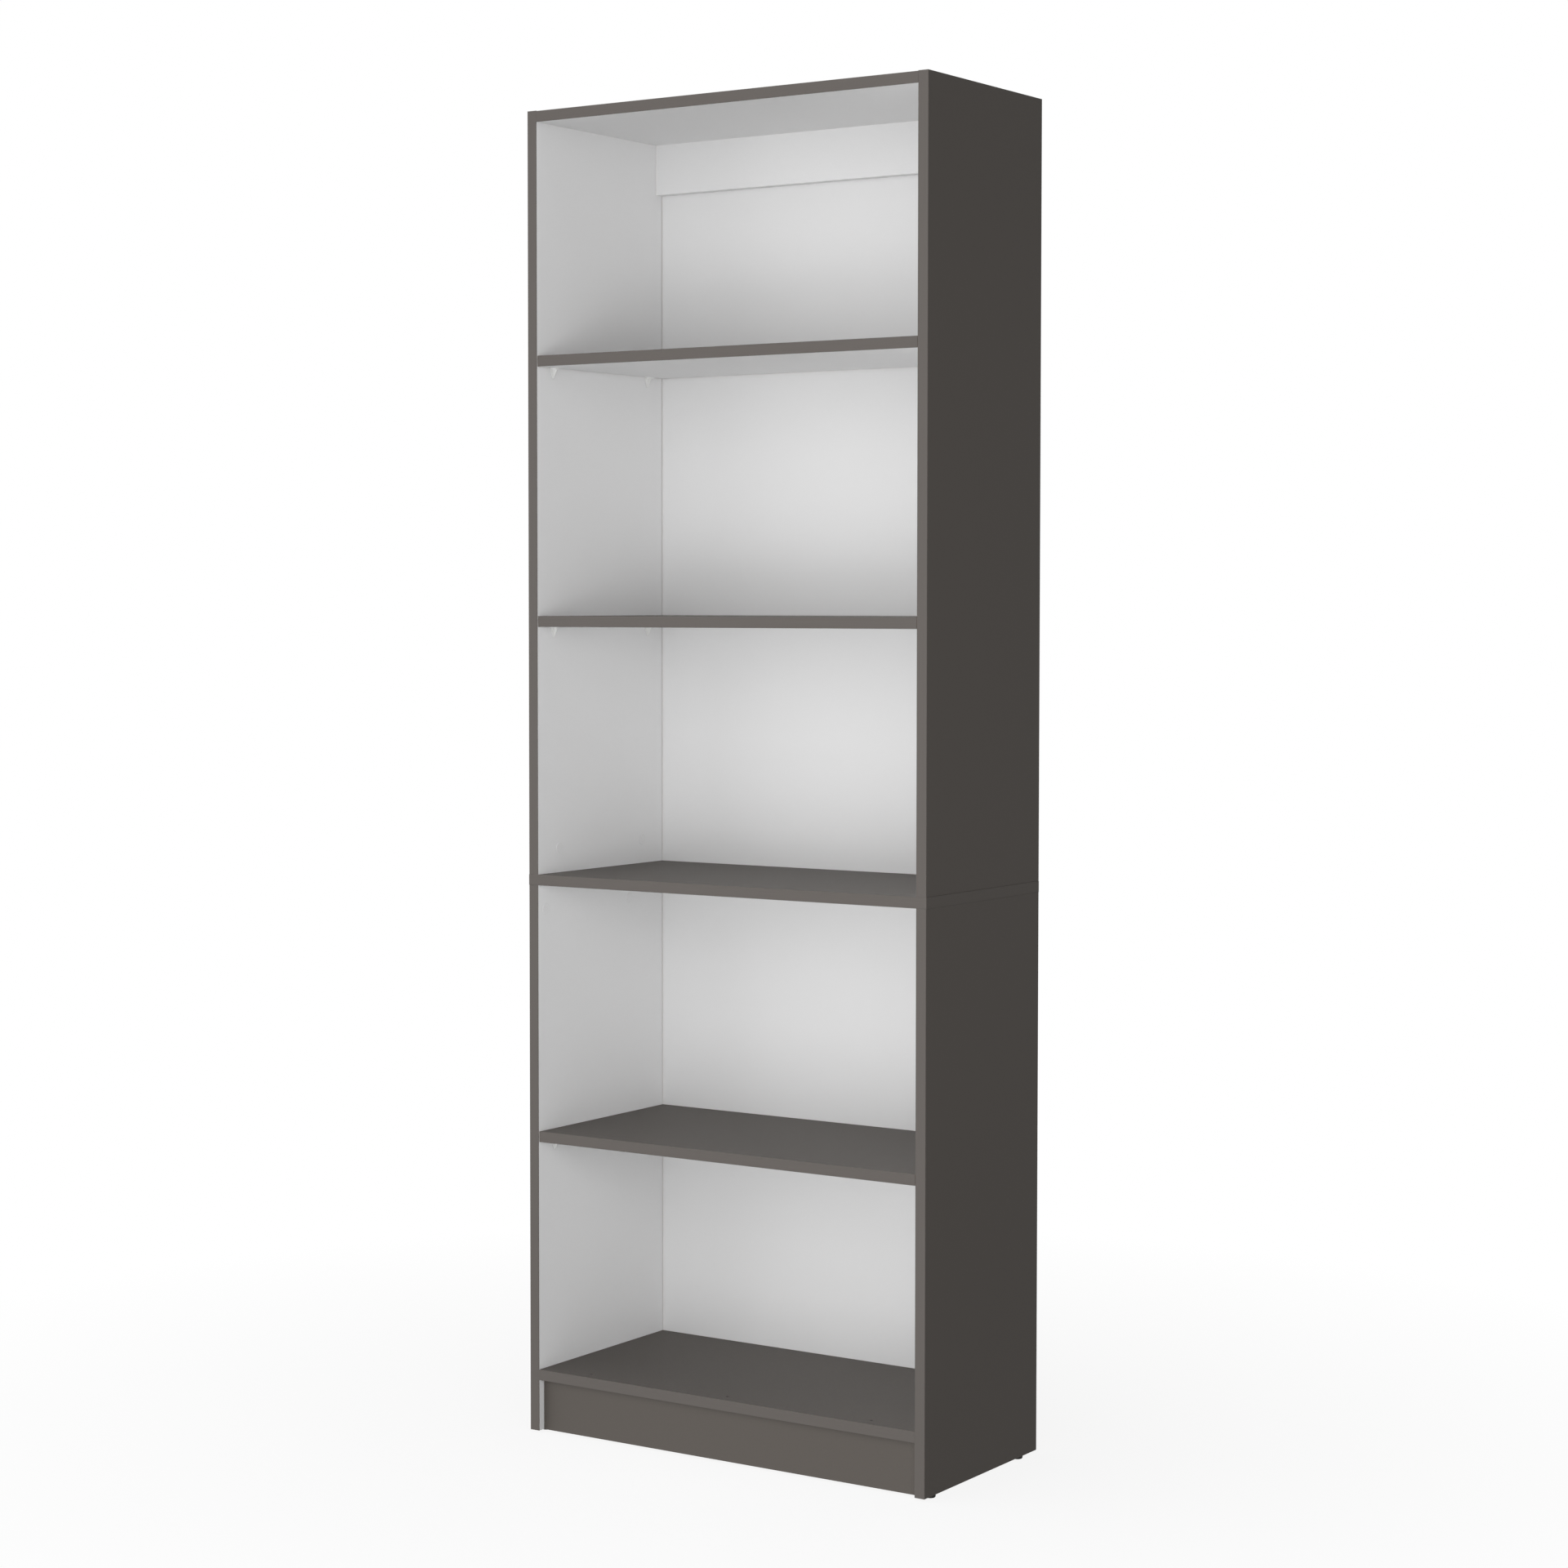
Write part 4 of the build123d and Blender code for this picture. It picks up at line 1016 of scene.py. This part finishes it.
fm.nt.links.new(blend_floor.outputs[0],
                next(n for n in fm.nt.nodes if n.type == "OUTPUT_MATERIAL").inputs["Surface"])
bm = bmesh.new()
bmesh.ops.create_circle(bm, cap_ends=True, cap_tris=False, segments=96, radius=40.0)
floor = link("studio_floor", bm, [fm.m])
floor.visible_diffuse = floor.visible_glossy = floor.visible_transmission = floor.visible_shadow = False


def area(name, at, look, power):
    data = bpy.data.lights.new(name, "AREA")
    data.shape = "RECTANGLE"
    data.size, data.size_y = 1.5, 1.2
    data.energy = power
    ob = bpy.data.objects.new(name, data)
    bpy.context.scene.collection.objects.link(ob)
    ob.location = at
    ob.rotation_euler = (Vector(look) - Vector(at)).to_track_quat("-Z", "Y").to_euler()
    ob.visible_camera = False
    return ob


area("front_high", (0.0, -2.4, 2.2), (0, 0, 1.0), 8.81)
area("front_low", (0.0, -2.4, 0.1), (0, 0, 0.9), 8.71)
area("front_right", (1.8, -2.1, 1.0), (0, 0, 1.0), 17.93)
area("front_left", (-1.6, -2.3, 1.0), (0, 0, 1.0), 3.91)
area("overhead", (0.0, -0.6, 3.6), (0, 0, 1.0), 12.52)

# the room around the softboxes: broad soft glows, each (direction, strength)
GLOWS = (
    ((-1.0, -1.0, 0.0), 1.7034),
    ((1.0, -1.0, 0.0), 0.8954),
    ((-1.0, 0.0, 0.0), 1.3510),
    ((1.0, 0.0, 0.0), 0.2087),
    ((0.0, 1.0, 0.0), 0.8538),
)
world = bpy.data.worlds.new("studio")
bpy.context.scene.world = world
world.use_nodes = True
wn = world.node_tree
wn.nodes.clear()
out = wn.nodes.new("ShaderNodeOutputWorld")
seen = wn.nodes.new("ShaderNodeBackground")
seen.inputs["Color"].default_value = (1, 1, 1, 1)
seen.inputs["Strength"].default_value = 1.0
lit = wn.nodes.new("ShaderNodeBackground")
lit.inputs["Color"].default_value = (1, 1, 1, 1)
look_dir = wn.nodes.new("ShaderNodeTexCoord").outputs["Generated"]
unit = wn.nodes.new("ShaderNodeVectorMath")
unit.operation = "NORMALIZE"
wn.links.new(look_dir, unit.inputs[0])


def world_math(op, a, b):
    n = wn.nodes.new("ShaderNodeMath")
    n.operation = op
    for i, v in enumerate((a, b)):
        if isinstance(v, (int, float)):
            n.inputs[i].default_value = v
        else:
            wn.links.new(v, n.inputs[i])
    return n.outputs[0]


total = None
for way, power in GLOWS:
    dot = wn.nodes.new("ShaderNodeVectorMath")
    dot.operation = "DOT_PRODUCT"
    wn.links.new(unit.outputs[0], dot.inputs[0])
    dot.inputs[1].default_value = Vector(way).normalized()
    lobe = world_math("MULTIPLY", world_math("POWER", world_math("MAXIMUM", dot.outputs["Value"], 0.0), 4.0), power)
    total = lobe if total is None else world_math("ADD", total, lobe)
wn.links.new(total, lit.inputs["Strength"])
path = wn.nodes.new("ShaderNodeLightPath")
mixer = wn.nodes.new("ShaderNodeMixShader")
wn.links.new(path.outputs["Is Camera Ray"], mixer.inputs[0])
wn.links.new(lit.outputs[0], mixer.inputs[1])
wn.links.new(seen.outputs[0], mixer.inputs[2])
wn.links.new(mixer.outputs[0], out.inputs[0])

scene = bpy.context.scene
scene.view_settings.view_transform = "Standard"
scene.view_settings.look = "None"
scene.view_settings.exposure = 0.0
scene.view_settings.gamma = 1.0

cam_data = bpy.data.cameras.new("camera")
cam_data.sensor_width = 36.0
cam_data.lens = 75.079
cam_data.shift_x = 0.04341
cam_data.shift_y = -0.02541
cam_data.clip_start, cam_data.clip_end = 0.05, 200.0
camera = bpy.data.objects.new("camera", cam_data)
scene.collection.objects.link(camera)
camera.location = (2.44724, -3.75947, 1.16549)
camera.rotation_euler = (math.radians(87.4777), 0.0, math.radians(34.2145))
scene.camera = camera
